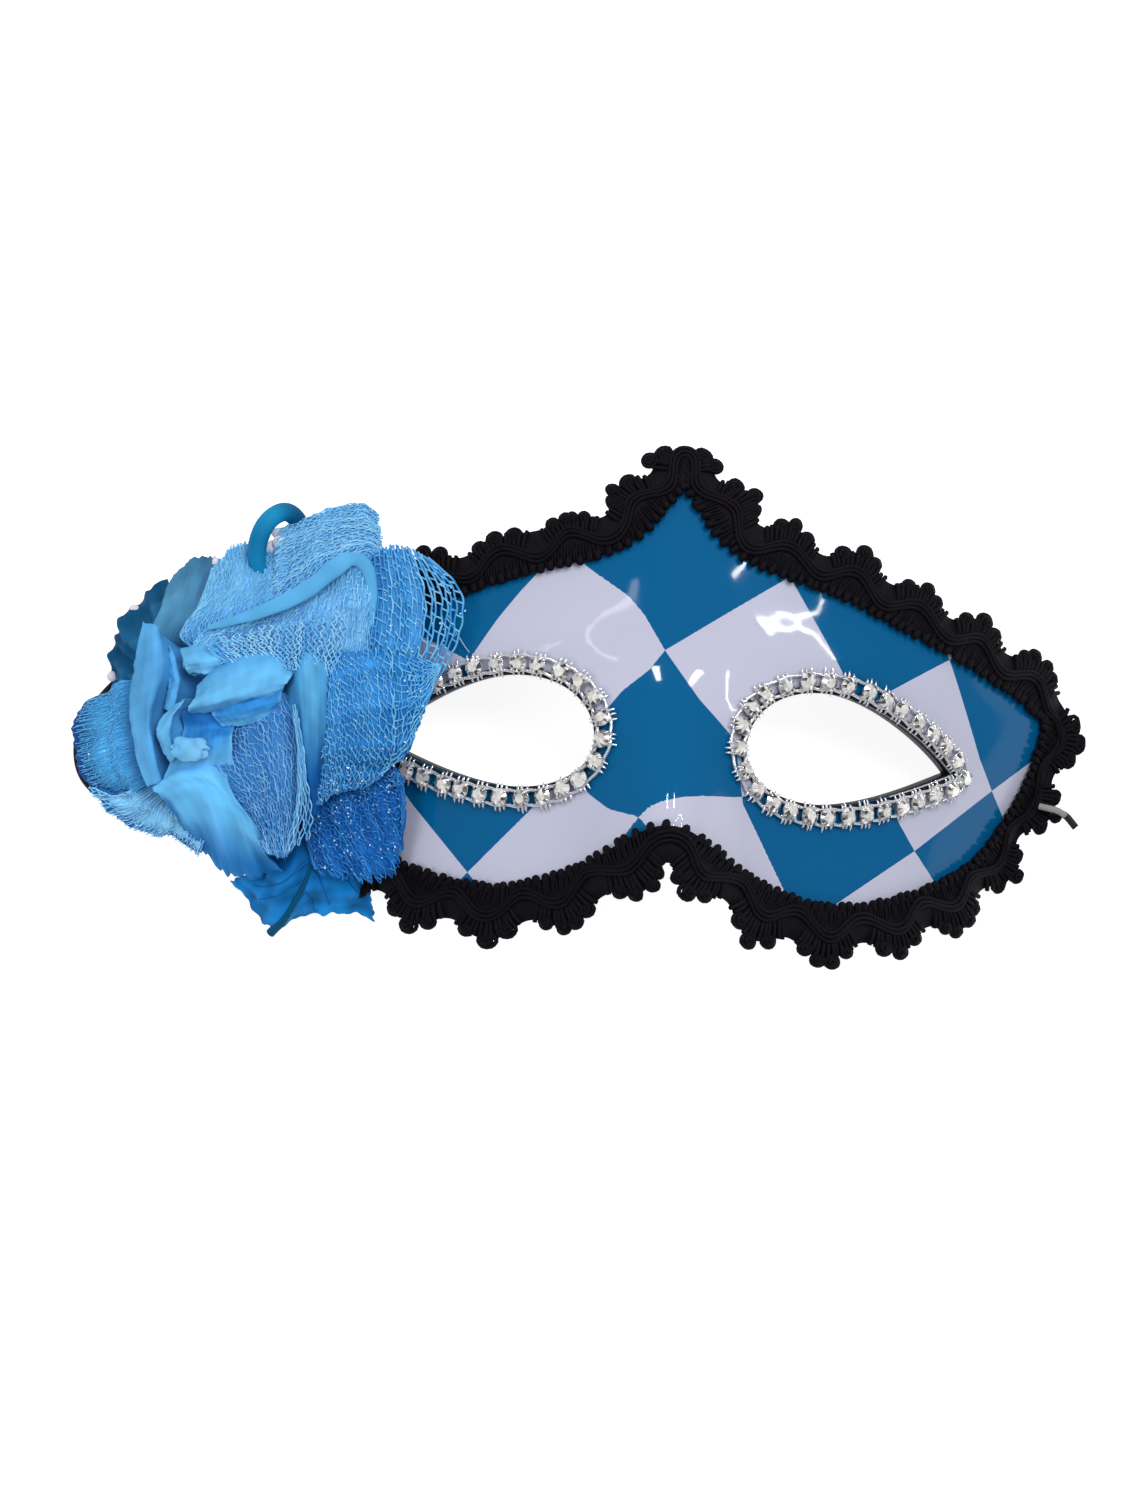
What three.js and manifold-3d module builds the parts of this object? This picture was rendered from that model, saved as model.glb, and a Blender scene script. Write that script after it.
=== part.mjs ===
// Masquerade eye mask: a moulded half mask with a gimp braid round its edge, a rhinestone
// band round each eye, a fabric rose on one temple and a round elastic strap.
// Millimetres. The mask lies face up on its temples: +X is the viewer's right, +Y is towards
// the brow and +Z is the way the mask faces. The origin is under the middle of the mask's box.
import * as THREE from "three";
import Module from "manifold-3d";

const wasm = await Module();
wasm.setup();

const { lerp, smoothstep } = THREE.MathUtils;

// Driving sizes
const WALL = 1.6;
const GLUE_GAP = 0.55;
const CLOTH = 1;
const TUBE_SIDES = 8;

// Steps used to measure slopes and to weld points, and the box under the surface that cuts the rims
const SLOPE_STEP = 0.05;
const SHARE_STEP = 0.01;
const ANGLE_STEP = 0.02;
const WELD = 1e-4;
const FLOOR = { width: 400, depth: 300, height: 20 };

// The curved face of the shell
const TEMPLE_HALF_WIDTH = 96;
const TEMPLE_TOP = 19;
const TEMPLE_LENGTH = 45;
const CHEEK_TAPER = 13;
const EDGE_HEIGHT = 0.4;
const FACE_RISE = 48;
const NOSE = { height: 17, width: 16, top: 26, length: 50 };
const FOREHEAD = { start: 30, fall: 0.004 };
const BROW = { height: 2, y: 24, thickness: 9, from: 8, full: 30, fade: 60, end: 85 };

// The right half of the shell's edge, from the peak of the brow round to the nose notch
const EDGE = [
  { x: 0, y: 68.5 },
  { x: 7.5, y: 60.5 },
  { x: 13.5, y: 52.5 },
  { x: 23, y: 48 },
  { x: 36, y: 45 },
  { x: 49, y: 40.5 },
  { x: 62, y: 35.5 },
  { x: 76, y: 30.5 },
  { x: 88, y: 25.5 },
  { x: 96, y: 19 },
  { x: 94.5, y: 7 },
  { x: 90, y: -4 },
  { x: 84, y: -15 },
  { x: 76, y: -25.5 },
  { x: 64, y: -33 },
  { x: 51, y: -38 },
  { x: 38, y: -40 },
  { x: 27, y: -38 },
  { x: 17, y: -34.5 },
  { x: 8, y: -29 },
  { x: 0, y: -25.5 },
];
const EDGE_STEPS = 32;
const CENTRE_STEPS = 11;

// A teardrop eye hole, pointed at its outer corner
const EYE = { x: 43.3, y: 0.3, halfWidth: 25.8, above: 18.7, below: 14.5 };
const EYE_POINT = { above: 0.8, below: 1.1 };
const EYE_LIP = 3.5;
const EYE_SPREAD = 1.6;
const RING_SHARES = [0, 0.16, 0.4, 0.7, 1];

// Gimp braid: a ribbed foot on the face and fans of picot loops past the edge
const BRAID = { foot: 6.2, footHeight: 1.4, ridge: 0.8, ridgeHeight: 2.5, rimHeight: 1.7 };
const FAN = { repeats: 29, steps: 8, valley: 3, reach: 6 };
const PEAK_GATHER = { share: 0.6, length: 9 };

// Rhinestone band: cut stones in cups on a narrow strip
const BAND = { setback: 2.9, width: 2.8, height: 0.9, stones: 29, lineSteps: 60 };
const STONE = { facets: 8, footDepth: 0.4, radius: 2.2, girdle: 1.6, tableRadius: 1.25, height: 2.6 };

// Rose: a leaning core seated on the temple, with a bud on top
const ROSE = { x: -84, y: 9, seat: 0.4 };
const BUD = { x: -108.5, y: 0, z: 39 };
const CORE = { radius: 8, collar: 4, neckRadius: 3.4, neck: 25, budRadius: 4.2, bud: 33, sides: 14 };
const PETAL_GAP = 0.45;

// How the petals are cut: narrow at the root, with rounded corners at the tip
const PETAL_ROOT_HALF = 3;
const PETAL_CORNER = 0.2;
const PETAL_STEPS = { along: 5, across: 6 };
const BED_EASE = 6;

// Each petal leaves the core at a height along it, then passes over two places, mid and tip. There
// it has a lift over the mask or the surface and half its width; cup raises its sides.
const PETALS = [
  { name: "leaf_low", cloth: "teal", root: 2, mid: { x: -86, y: -24, lift: 6.5, half: 13 },
    tip: { x: -81, y: -44, lift: 5.5, half: 18 }, cup: -1, ruffle: 0.8, waves: 3 },
  { name: "petal_net_frill", cloth: "net", root: 4, mid: { x: -73, y: -12, lift: 8, half: 12 },
    tip: { x: -62, y: -20, lift: 8.5, half: 15 }, cup: 0, ruffle: 0.8, waves: 4 },
  { name: "petal_net_right", cloth: "net", root: 3, mid: { x: -70, y: 27, lift: 6, half: 15 },
    tip: { x: -50, y: 36, lift: 5, half: 16 }, cup: 0, ruffle: 0.8, waves: 3 },
  { name: "petal_net_side", cloth: "net", root: 8, mid: { x: -76, y: 6, lift: 12.5, half: 17 },
    tip: { x: -60, y: 4, lift: 12, half: 18 }, cup: 0, ruffle: 0.8, waves: 3 },
  { name: "petal_net_top", cloth: "net", root: 5, mid: { x: -88, y: 33, lift: 9, half: 12 },
    tip: { x: -79, y: 55, lift: 7.5, half: 15 }, cup: 0, ruffle: 0.8, waves: 3 },
  { name: "petal_net_back", cloth: "net", root: 8, mid: { x: -99, y: 28, lift: 13.5, half: 11 },
    tip: { x: -105, y: 43.5, lift: 12, half: 12 }, cup: 0, ruffle: 0.8, waves: 3 },
  { name: "petal_satin_back", cloth: "satin", root: 7, mid: { x: -109, y: 25, lift: 9.5, half: 8 },
    tip: { x: -117, y: 42, lift: 7.5, half: 9 }, cup: 0, ruffle: 0.5, waves: 2 },
  { name: "petal_teal_left", cloth: "teal", root: 4, mid: { x: -116, y: 18, lift: 6, half: 11 },
    tip: { x: -130, y: 29, lift: 5, half: 13 }, cup: 0, ruffle: 0.8, waves: 4 },
  { name: "petal_net_left", cloth: "net", root: 7, mid: { x: -122, y: -1, lift: 9, half: 12 },
    tip: { x: -140.5, y: -5, lift: 7, half: 15 }, cup: 0, ruffle: 0.8, waves: 3 },
  { name: "petal_chiffon_low", cloth: "net", root: 5, mid: { x: -112, y: -11, lift: 6, half: 11 },
    tip: { x: -121, y: -26.5, lift: 4.5, half: 15 }, cup: 0, ruffle: 0.8, waves: 4 },
  { name: "petal_satin_top", cloth: "satin", root: 13, mid: { x: -88, y: 23, lift: 20, half: 16 },
    tip: { x: -92, y: 36, lift: 22, half: 20 }, cup: 2, ruffle: 0.5, waves: 2 },
  { name: "petal_satin_left", cloth: "satin", root: 14, mid: { x: -116, y: 5, lift: 20, half: 14 },
    tip: { x: -127, y: 6, lift: 25, half: 18 }, cup: 2, ruffle: 0.5, waves: 2 },
  { name: "petal_satin_low", cloth: "satin", root: 12, mid: { x: -99.5, y: -12.5, lift: 17.5, half: 12 },
    tip: { x: -106, y: -25, lift: 12, half: 16 }, cup: 0, ruffle: 0.5, waves: 2 },
  { name: "petal_net_low", cloth: "net", root: 14.5, mid: { x: -94, y: -13, lift: 21.5, half: 9 },
    tip: { x: -86, y: -24, lift: 17, half: 10 }, cup: 0, ruffle: 0.5, waves: 2 },
  { name: "petal_satin_right", cloth: "satin", root: 19, mid: { x: -87, y: 3.5, lift: 23, half: 12 },
    tip: { x: -81, y: 1, lift: 26, half: 18 }, cup: 1, ruffle: 0.5, waves: 2 },
  { name: "petal_inner_top", cloth: "satin", root: 23, mid: { x: -98.5, y: 12.5, lift: 31, half: 6 },
    tip: { x: -101, y: 16, lift: 33, half: 9 }, cup: 1, ruffle: 0.3, waves: 2 },
  { name: "petal_inner_left", cloth: "satin", root: 23, mid: { x: -112, y: 3.5, lift: 30, half: 6 },
    tip: { x: -117, y: 5, lift: 34, half: 9 }, cup: 1, ruffle: 0.3, waves: 2 },
  { name: "petal_inner_low", cloth: "satin", root: 22, mid: { x: -105.5, y: -7.5, lift: 27, half: 5.5 },
    tip: { x: -106, y: -12.5, lift: 30, half: 8 }, cup: 1, ruffle: 0.3, waves: 2 },
];

// A rolled loop of teal ribbon that lies on the top net petal
const LOOP = { radius: 5, tube: 2.1, flatness: 0.75, along: 0.95, across: 0.7, turns: 0.86, steps: 16 };

// Round elastic strap, laid on the surface under the mask from one temple to the other
const STRAP_RADIUS = 0.9;
const STRAP_HEIGHT = 1;
const STRAP_STEPS = 62;
const STRAP_ROUTE = [
  { x: 88.2, y: 4 },
  { x: 80, y: 9 },
  { x: 68, y: 17 },
  { x: 52, y: 24 },
  { x: 34, y: 28 },
  { x: 14, y: 30 },
  { x: -8, y: 31 },
  { x: -30, y: 31 },
  { x: -50, y: 32 },
  { x: -68, y: 33 },
  { x: -86, y: 34 },
  { x: -104, y: 31 },
  { x: -120, y: 24 },
  { x: -132, y: 14 },
  { x: -139.5, y: 4 },
  { x: -141.5, y: -5 },
  { x: -138, y: -13 },
  { x: -127, y: -19 },
  { x: -112, y: -22.5 },
  { x: -96, y: -26 },
  { x: -84, y: -31.5 },
  { x: -73, y: -33 },
  { x: -64, y: -29 },
  { x: -60, y: -20 },
  { x: -64, y: -11 },
  { x: -73, y: -5 },
  { x: -85.6, y: -2 },
];
// Its cut end, which shows past the braid at the right temple
const STRAP_END = [
  { x: 96.5, y: -5 },
  { x: 100, y: -5.6 },
  { x: 103, y: -8.6 },
];
const STRAP_END_STEPS = 5;

// How far a value has gone from one end of a range to the other, eased at both ends
function eased(value, from, to) {
  return to > from ? smoothstep(value, from, to) : smoothstep(-value, -from, -to);
}

// Height of the shell's front face over the surface that the mask lies on
function faceHeight(x, y) {
  const across = Math.abs(x);
  const halfWidth = TEMPLE_HALF_WIDTH - CHEEK_TAPER * eased(y, TEMPLE_TOP, TEMPLE_TOP - TEMPLE_LENGTH);
  const side = EDGE_HEIGHT + FACE_RISE * (1 - (across / halfWidth) ** 2);
  const ridge = Math.exp(-((across / NOSE.width) ** 2));
  const nose = NOSE.height * eased(y, NOSE.top, NOSE.top - NOSE.length) * ridge;
  const forehead = -FOREHEAD.fall * Math.max(0, y - FOREHEAD.start) ** 2;
  const browBand = Math.exp(-(((y - BROW.y) / BROW.thickness) ** 2));
  const browSpan = eased(across, BROW.from, BROW.full) * eased(across, BROW.end, BROW.fade);
  return side + nose + forehead + BROW.height * browBand * browSpan;
}

// Outward direction of the front face
function faceNormal(x, y) {
  const h = SLOPE_STEP;
  const slopeX = (faceHeight(x + h, y) - faceHeight(x - h, y)) / (2 * h);
  const slopeY = (faceHeight(x, y + h) - faceHeight(x, y - h)) / (2 * h);
  return new THREE.Vector3(-slopeX, -slopeY, 1).normalize();
}

// A point that lies lift millimetres over the front face
function onFace(x, y, lift = 0) {
  return new THREE.Vector3(x, y, faceHeight(x, y)).addScaledVector(faceNormal(x, y), lift);
}

// The shell's whole edge as one closed curve, seen from the front
function edgeCurve() {
  const right = EDGE.map((p) => new THREE.Vector3(p.x, p.y, 0));
  const left = EDGE.slice(1, -1).reverse().map((p) => new THREE.Vector3(-p.x, p.y, 0));
  return new THREE.CatmullRomCurve3([...right, ...left], true, "catmullrom");
}

// A point of the right eye hole's edge at an angle round it, with 0 at the outer corner
function eyeEdge(angle) {
  const above = Math.sin(angle) > 0;
  const height = above ? EYE.above : EYE.below;
  const point = Math.abs(Math.sin(angle / 2)) ** (above ? EYE_POINT.above : EYE_POINT.below);
  return new THREE.Vector2(
    EYE.x + EYE.halfWidth * Math.cos(angle),
    EYE.y + height * Math.sin(angle) * point,
  );
}

// A closed solid from points and triangles, turned so that its faces point out
function solidFrom(points, triangles) {
  let volume = 0;
  for (const [a, b, c] of triangles) {
    volume += points[a].dot(new THREE.Vector3().crossVectors(points[b], points[c]));
  }
  const facing = volume > 0 ? triangles : triangles.map(([a, b, c]) => [a, c, b]);
  return new wasm.Manifold(
    new wasm.Mesh({
      numProp: 3,
      vertProperties: new Float32Array(points.flatMap((p) => p.toArray())),
      triVerts: new Uint32Array(facing.flat()),
    }),
  );
}

// A solid lofted through rings of points. A closed loft joins its last ring to its first; an
// open one has its ends filled between point i and the point as far from the ring's end.
function loft(rings, closed) {
  const size = rings[0].length;
  const triangles = [];
  const quad = (a, b, c, d) => triangles.push([a, b, c], [a, c, d]);
  const spans = closed ? rings.length : rings.length - 1;
  for (let i = 0; i < spans; i++) {
    const here = i * size;
    const next = ((i + 1) % rings.length) * size;
    for (let j = 0; j < size; j++) {
      const k = (j + 1) % size;
      quad(here + j, here + k, next + k, next + j);
    }
  }
  if (!closed) {
    const last = (rings.length - 1) * size;
    for (let j = 0; j < size / 2 - 1; j++) {
      const far = size - 1 - j;
      quad(far, far - 1, j + 1, j);
      quad(last + j, last + j + 1, last + far - 1, last + far);
    }
  }
  return solidFrom(rings.flat(), triangles);
}

// A three.js geometry as a solid for joining and cutting
function solidOf(geometry, matrix = new THREE.Matrix4()) {
  const flat = geometry.index ? geometry.toNonIndexed() : geometry;
  const position = flat.getAttribute("position");
  const points = [];
  const places = new Map();
  const corners = [];
  for (let i = 0; i < position.count; i++) {
    const p = new THREE.Vector3().fromBufferAttribute(position, i);
    const key = p.toArray().map((v) => Math.round(v / WELD)).join();
    if (!places.has(key)) {
      places.set(key, points.length);
      points.push(p.applyMatrix4(matrix));
    }
    corners.push(places.get(key));
  }
  const triangles = [];
  for (let i = 0; i < corners.length; i += 3) {
    const [a, b, c] = corners.slice(i, i + 3);
    if (a !== b && b !== c && a !== c) triangles.push([a, b, c]);
  }
  return solidFrom(points, triangles);
}

// A named mesh from a solid
function meshOf(name, solid, material) {
  const made = solid.getMesh();
  const geometry = new THREE.BufferGeometry();
  geometry.setAttribute("position", new THREE.BufferAttribute(new Float32Array(made.vertProperties), 3));
  geometry.setIndex(new THREE.BufferAttribute(new Uint32Array(made.triVerts), 1));
  geometry.computeVertexNormals();
  const mesh = new THREE.Mesh(geometry, material);
  mesh.name = name;
  return mesh;
}

function finish(color, roughness, metalness = 0) {
  return new THREE.MeshStandardMaterial({ color, roughness, metalness });
}

// One side of the shell: rings of the wall from the eye hole out to the edge and centre line
function shellHalf(side) {
  const curve = edgeCurve();
  const border = [];
  for (let i = 0; i < EDGE_STEPS; i++) border.push(curve.getPoint(i / (2 * EDGE_STEPS)));
  const peak = EDGE[0].y;
  const notch = EDGE[EDGE.length - 1].y;
  for (let i = 0; i < CENTRE_STEPS; i++) {
    border.push(new THREE.Vector3(0, lerp(notch, peak, i / CENTRE_STEPS), 0));
  }
  const sections = border.map((outer) => {
    const inner = eyeEdge(Math.atan2(EYE_SPREAD * (outer.y - EYE.y), outer.x - EYE.x));
    const span = Math.hypot(outer.x - inner.x, outer.y - inner.y);
    const place = (share, lift) =>
      onFace(lerp(inner.x, outer.x, share), lerp(inner.y, outer.y, share), lift);
    const front = RING_SHARES.map((share) => place(share, 0));
    const back = RING_SHARES.slice(1).reverse().map((share) => place(share, -WALL));
    const lip = [place(WALL / span, -WALL), place(WALL / span, -EYE_LIP), place(0, -EYE_LIP)];
    return [...front, ...back, ...lip];
  });
  for (const p of sections.flat()) p.x *= side;
  return loft(sections, true);
}

// The shell, cut level where its temples rest
function shell() {
  const floor = new THREE.BoxGeometry(FLOOR.width, FLOOR.depth, FLOOR.height);
  floor.translate(0, 0, -FLOOR.height / 2);
  return shellHalf(1).add(shellHalf(-1)).subtract(solidOf(floor));
}

// Gimp braid round the edge: its foot follows the face, and what passes the edge lies no lower
// than the surface under the mask
function braid() {
  const curve = edgeCurve();
  const steps = FAN.repeats * FAN.steps;
  const rings = [];
  for (let i = 0; i < steps; i++) {
    const p = curve.getPointAt(i / steps);
    const t = curve.getTangentAt(i / steps);
    const out = new THREE.Vector2(-t.y, t.x);
    const normal = faceNormal(p.x, p.y);
    const lean = normal.x * out.x + normal.y * out.y;
    const foreshortened = Math.sqrt(1 - lean * lean);
    const fan = FAN.reach * Math.cos((Math.PI * i) / FAN.steps) ** 2;
    const fromPeak = (Math.min(i, steps - i) / steps) * curve.getLength();
    const gather = 1 - PEAK_GATHER.share * Math.exp(-((fromPeak / PEAK_GATHER.length) ** 2));
    const reach = (FAN.valley + fan) * foreshortened ** 2 * gather;
    const place = (offset, lift) => {
      const q = onFace(p.x + offset * out.x, p.y + offset * out.y, GLUE_GAP);
      q.z = Math.max(q.z, 0);
      return q.addScaledVector(normal, lift);
    };
    const foot = -BRAID.foot * foreshortened;
    rings.push([
      place(foot, BRAID.footHeight),
      place(BRAID.ridge, BRAID.ridgeHeight),
      place(reach, BRAID.rimHeight),
      place(reach, 0),
      place(BRAID.ridge, 0),
      place(foot, 0),
    ]);
  }
  return loft(rings, true);
}

// The line that a rhinestone band follows round an eye hole, set back from its edge
function bandCurve(side) {
  const points = [];
  for (let i = 0; i < BAND.lineSteps; i++) {
    const angle = (2 * Math.PI * i) / BAND.lineSteps;
    const p = eyeEdge(angle);
    const ahead = eyeEdge(angle + ANGLE_STEP);
    const behind = eyeEdge(angle - ANGLE_STEP);
    const out = new THREE.Vector2(ahead.y - behind.y, behind.x - ahead.x).normalize();
    const normal = faceNormal(p.x, p.y);
    const lean = normal.x * out.x + normal.y * out.y;
    const setback = BAND.setback * Math.sqrt(1 - lean * lean);
    points.push(new THREE.Vector3(side * (p.x + setback * out.x), p.y + setback * out.y, 0));
  }
  const seated = points.map((p) => onFace(p.x, p.y));
  return new THREE.CatmullRomCurve3(seated, true, "catmullrom");
}

// Axes on the face at a share of the way round a band: along, across and outward
function bandAxes(curve, share) {
  const p = curve.getPointAt(share);
  const outward = faceNormal(p.x, p.y);
  const across = new THREE.Vector3().crossVectors(outward, curve.getTangentAt(share)).normalize();
  const along = new THREE.Vector3().crossVectors(across, outward);
  return { p, along, across, outward };
}

// A rhinestone band: the strip with a cup and an eight-sided stone at each pitch
function rhinestoneBand(side) {
  const curve = bandCurve(side);
  const steps = BAND.stones;
  const strip = [];
  for (let i = 0; i < steps; i++) {
    const { p, across, outward } = bandAxes(curve, (i + 0.5) / steps);
    const place = (offset, lift) =>
      p.clone().addScaledVector(across, offset).addScaledVector(outward, lift);
    const half = BAND.width / 2;
    const top = GLUE_GAP + BAND.height;
    strip.push([place(-half, top), place(half, top), place(half, GLUE_GAP), place(-half, GLUE_GAP)]);
  }
  let band = loft(strip, true);
  const foot = BAND.height - STONE.footDepth;
  const profile = [
    new THREE.Vector2(0, foot),
    new THREE.Vector2(STONE.radius, STONE.girdle),
    new THREE.Vector2(STONE.tableRadius, STONE.height),
    new THREE.Vector2(0, STONE.height),
  ];
  const stone = new THREE.LatheGeometry(profile, STONE.facets).rotateX(Math.PI / 2);
  for (let i = 0; i < BAND.stones; i++) {
    const { p, along, across, outward } = bandAxes(curve, i / BAND.stones);
    const seat = p.clone().addScaledVector(outward, GLUE_GAP);
    const matrix = new THREE.Matrix4().makeBasis(along, across, outward).setPosition(seat);
    band = band.add(solidOf(stone, matrix));
  }
  return band;
}

// The line that the rose leans along, from its seat on the temple to the top of the bud
function roseLine() {
  const seat = onFace(ROSE.x, ROSE.y, ROSE.seat);
  const lean = new THREE.Vector3(BUD.x, BUD.y, BUD.z).sub(seat);
  return { seat, lean: lean.clone().normalize(), length: lean.length() };
}

// Radius of the core at a height along its line
function coreRadius(height) {
  return lerp(CORE.radius, CORE.neckRadius, (height - CORE.collar) / (CORE.neck - CORE.collar));
}

// The core that the petals are sewn to, cut to lie on the temple
function roseCore() {
  const { seat, lean, length } = roseLine();
  const profile = [
    [0, -CORE.radius],
    [CORE.radius, -CORE.radius],
    [CORE.radius, CORE.collar],
    [CORE.neckRadius, CORE.neck],
    [CORE.budRadius, CORE.bud],
    [CORE.neckRadius, length],
    [0, length],
  ].map(([radius, height]) => new THREE.Vector2(radius, height));
  const turned = new THREE.Quaternion().setFromUnitVectors(new THREE.Vector3(0, 1, 0), lean);
  const unscaled = new THREE.Vector3(1, 1, 1);
  const core = solidOf(
    new THREE.LatheGeometry(profile, CORE.sides),
    new THREE.Matrix4().compose(seat, turned, unscaled),
  );
  const depth = 4 * CORE.radius;
  const below = new THREE.BoxGeometry(2 * depth, 2 * depth, depth).translate(0, 0, -depth / 2);
  const level = new THREE.Quaternion().setFromUnitVectors(
    new THREE.Vector3(0, 0, 1),
    faceNormal(ROSE.x, ROSE.y),
  );
  return core.subtract(solidOf(below, new THREE.Matrix4().compose(seat, level, unscaled)));
}

// Height of what the rose lies over: the mask's face, easing into the surface beside it
function bedHeight(x, y) {
  const face = faceHeight(x, y);
  return (face + Math.hypot(face, BED_EASE)) / 2;
}

// The root of a petal: a place beside the core, on the side that the petal leaves from
function petalRoot(row) {
  const { seat, lean } = roseLine();
  const p = seat.clone().addScaledVector(lean, row.root);
  const { x, y, lift } = row.mid;
  const away = new THREE.Vector3(x, y, bedHeight(x, y) + lift).sub(p);
  away.addScaledVector(lean, -away.dot(lean)).normalize();
  p.addScaledVector(away, coreRadius(row.root) + CLOTH / 2 + PETAL_GAP);
  return { x: p.x, y: p.y, lift: p.z - bedHeight(p.x, p.y), half: PETAL_ROOT_HALF };
}

// A value that passes through three others, at 0, a half and 1
function through(first, middle, last, u) {
  return first * (1 - u) * (1 - 2 * u) + 4 * middle * u * (1 - u) + last * u * (2 * u - 1);
}

// A point of a petal's middle surface, u along it from the root and v across it from -1 to 1
function petalPoint(row, root, u, v) {
  const along = u * (1 - PETAL_CORNER * u * v * v);
  const at = (key, share) => through(root[key], row.mid[key], row.tip[key], share);
  const next = along + SHARE_STEP;
  const ahead = new THREE.Vector2(at("x", next) - at("x", along), at("y", next) - at("y", along));
  ahead.normalize();
  const offset = v * at("half", along);
  const x = at("x", along) - ahead.y * offset;
  const y = at("y", along) + ahead.x * offset;
  const ruffle = row.ruffle * u * u * Math.sin(row.waves * Math.PI * v + row.root);
  return new THREE.Vector3(x, y, bedHeight(x, y) + at("lift", along) + row.cup * u * v * v + ruffle);
}

// A point over a petal's upper side
function overPetal(row, root, u, v, lift) {
  const p = petalPoint(row, root, u, v);
  const alongU = petalPoint(row, root, u + SHARE_STEP, v).sub(p);
  const alongV = petalPoint(row, root, u, v + SHARE_STEP).sub(p);
  return p.addScaledVector(new THREE.Vector3().crossVectors(alongU, alongV).normalize(), lift);
}

// One petal as a cloth wall
function petal(row) {
  const root = petalRoot(row);
  const rings = [];
  for (let i = 0; i <= PETAL_STEPS.along; i++) {
    const u = i / PETAL_STEPS.along;
    const across = [];
    for (let j = 0; j <= PETAL_STEPS.across; j++) across.push((2 * j) / PETAL_STEPS.across - 1);
    const front = across.map((v) => overPetal(row, root, u, v, CLOTH / 2));
    const back = across.map((v) => overPetal(row, root, u, v, -CLOTH / 2)).reverse();
    rings.push([...front, ...back]);
  }
  return loft(rings, false);
}

// A flattened tube along a curve
function tube(curve, steps, radius, flatness = 1) {
  const section = new THREE.Shape().absellipse(0, 0, radius * flatness, radius, 0, 2 * Math.PI);
  const options = { extrudePath: curve, steps, curveSegments: TUBE_SIDES / 2 };
  return solidOf(new THREE.ExtrudeGeometry(section, options));
}

// The teal loop, rolled on top of a petal
function ribbonLoop(row) {
  const root = petalRoot(row);
  const length = Math.hypot(row.tip.x - root.x, row.tip.y - root.y);
  const points = [];
  for (let i = 0; i <= LOOP.steps; i++) {
    const angle = Math.PI * (1 + LOOP.turns * ((2 * i) / LOOP.steps - 1));
    const u = LOOP.along - (LOOP.radius * Math.cos(angle)) / length;
    const v = LOOP.across + (LOOP.radius * Math.sin(angle)) / row.tip.half;
    points.push(overPetal(row, root, u, v, CLOTH / 2 + PETAL_GAP + LOOP.tube));
  }
  return tube(new THREE.CatmullRomCurve3(points), LOOP.steps, LOOP.tube, LOOP.flatness);
}

// The strap and its cut end
function laidElastic(route, steps) {
  const points = route.map((p) => new THREE.Vector3(p.x, p.y, STRAP_HEIGHT));
  return tube(new THREE.CatmullRomCurve3(points, false, "catmullrom"), steps, STRAP_RADIUS);
}

const FINISH = {
  print: finish(0x0a6a9c, 0.2),
  braid: finish(0x0d0b0d, 0.9),
  stones: finish(0xd8dce0, 0.15, 0.8),
  satin: finish(0x3f9fd6, 0.6),
  net: finish(0x2f7fc4, 0.7),
  teal: finish(0x0f6f94, 0.6),
  elastic: finish(0x121212, 0.8),
};

const mask = new THREE.Group();
mask.add(
  meshOf("mask_shell", shell(), FINISH.print),
  meshOf("gimp_braid", braid(), FINISH.braid),
  meshOf("rhinestone_band_right", rhinestoneBand(1), FINISH.stones),
  meshOf("rhinestone_band_left", rhinestoneBand(-1), FINISH.stones),
  meshOf("rose_core", roseCore(), FINISH.satin),
);
for (const row of PETALS) mask.add(meshOf(row.name, petal(row), FINISH[row.cloth]));
const topNet = PETALS.find((row) => row.name === "petal_net_top");
mask.add(meshOf("ribbon_loop", ribbonLoop(topNet), FINISH.teal));

// The mask without its strap stands centred over the origin
const box = new THREE.Box3().setFromObject(mask);
mask.add(
  meshOf("elastic_strap", laidElastic(STRAP_ROUTE, STRAP_STEPS), FINISH.elastic),
  meshOf("elastic_end", laidElastic(STRAP_END, STRAP_END_STEPS), FINISH.elastic),
);
const middle = box.getCenter(new THREE.Vector3());
mask.position.set(-middle.x, -middle.y, -box.min.z);

export default mask;
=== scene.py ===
"""Looks of a masquerade eye mask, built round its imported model.

Shapes are worked out in millimetres in the mask's own frame, with x to the right, y towards the
brow and z the way the mask faces, and are moved to the row frame when a mesh is made.
"""
import math
from collections import namedtuple

import bmesh
import bpy
import numpy as np
from mathutils import Matrix, Vector


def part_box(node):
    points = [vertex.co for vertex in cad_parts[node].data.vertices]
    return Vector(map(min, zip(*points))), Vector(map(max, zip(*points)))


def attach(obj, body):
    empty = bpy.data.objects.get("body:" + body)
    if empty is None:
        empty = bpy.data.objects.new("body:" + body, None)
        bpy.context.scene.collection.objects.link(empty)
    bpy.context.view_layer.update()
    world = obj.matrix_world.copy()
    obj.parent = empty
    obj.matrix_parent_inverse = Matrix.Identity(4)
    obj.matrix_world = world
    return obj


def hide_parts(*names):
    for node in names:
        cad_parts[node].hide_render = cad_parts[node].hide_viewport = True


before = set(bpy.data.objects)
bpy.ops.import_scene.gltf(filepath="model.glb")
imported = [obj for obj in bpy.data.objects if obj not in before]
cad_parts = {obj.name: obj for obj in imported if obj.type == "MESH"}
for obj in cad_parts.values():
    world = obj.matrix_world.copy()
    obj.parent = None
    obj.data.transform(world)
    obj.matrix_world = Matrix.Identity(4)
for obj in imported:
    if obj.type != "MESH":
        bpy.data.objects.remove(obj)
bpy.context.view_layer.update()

MM = 0.001
TURN = 2 * math.pi
SQUARE = ((-1, -1), (1, -1), (1, 1), (-1, 1))
PICTURE = (1145, 1500)
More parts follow.
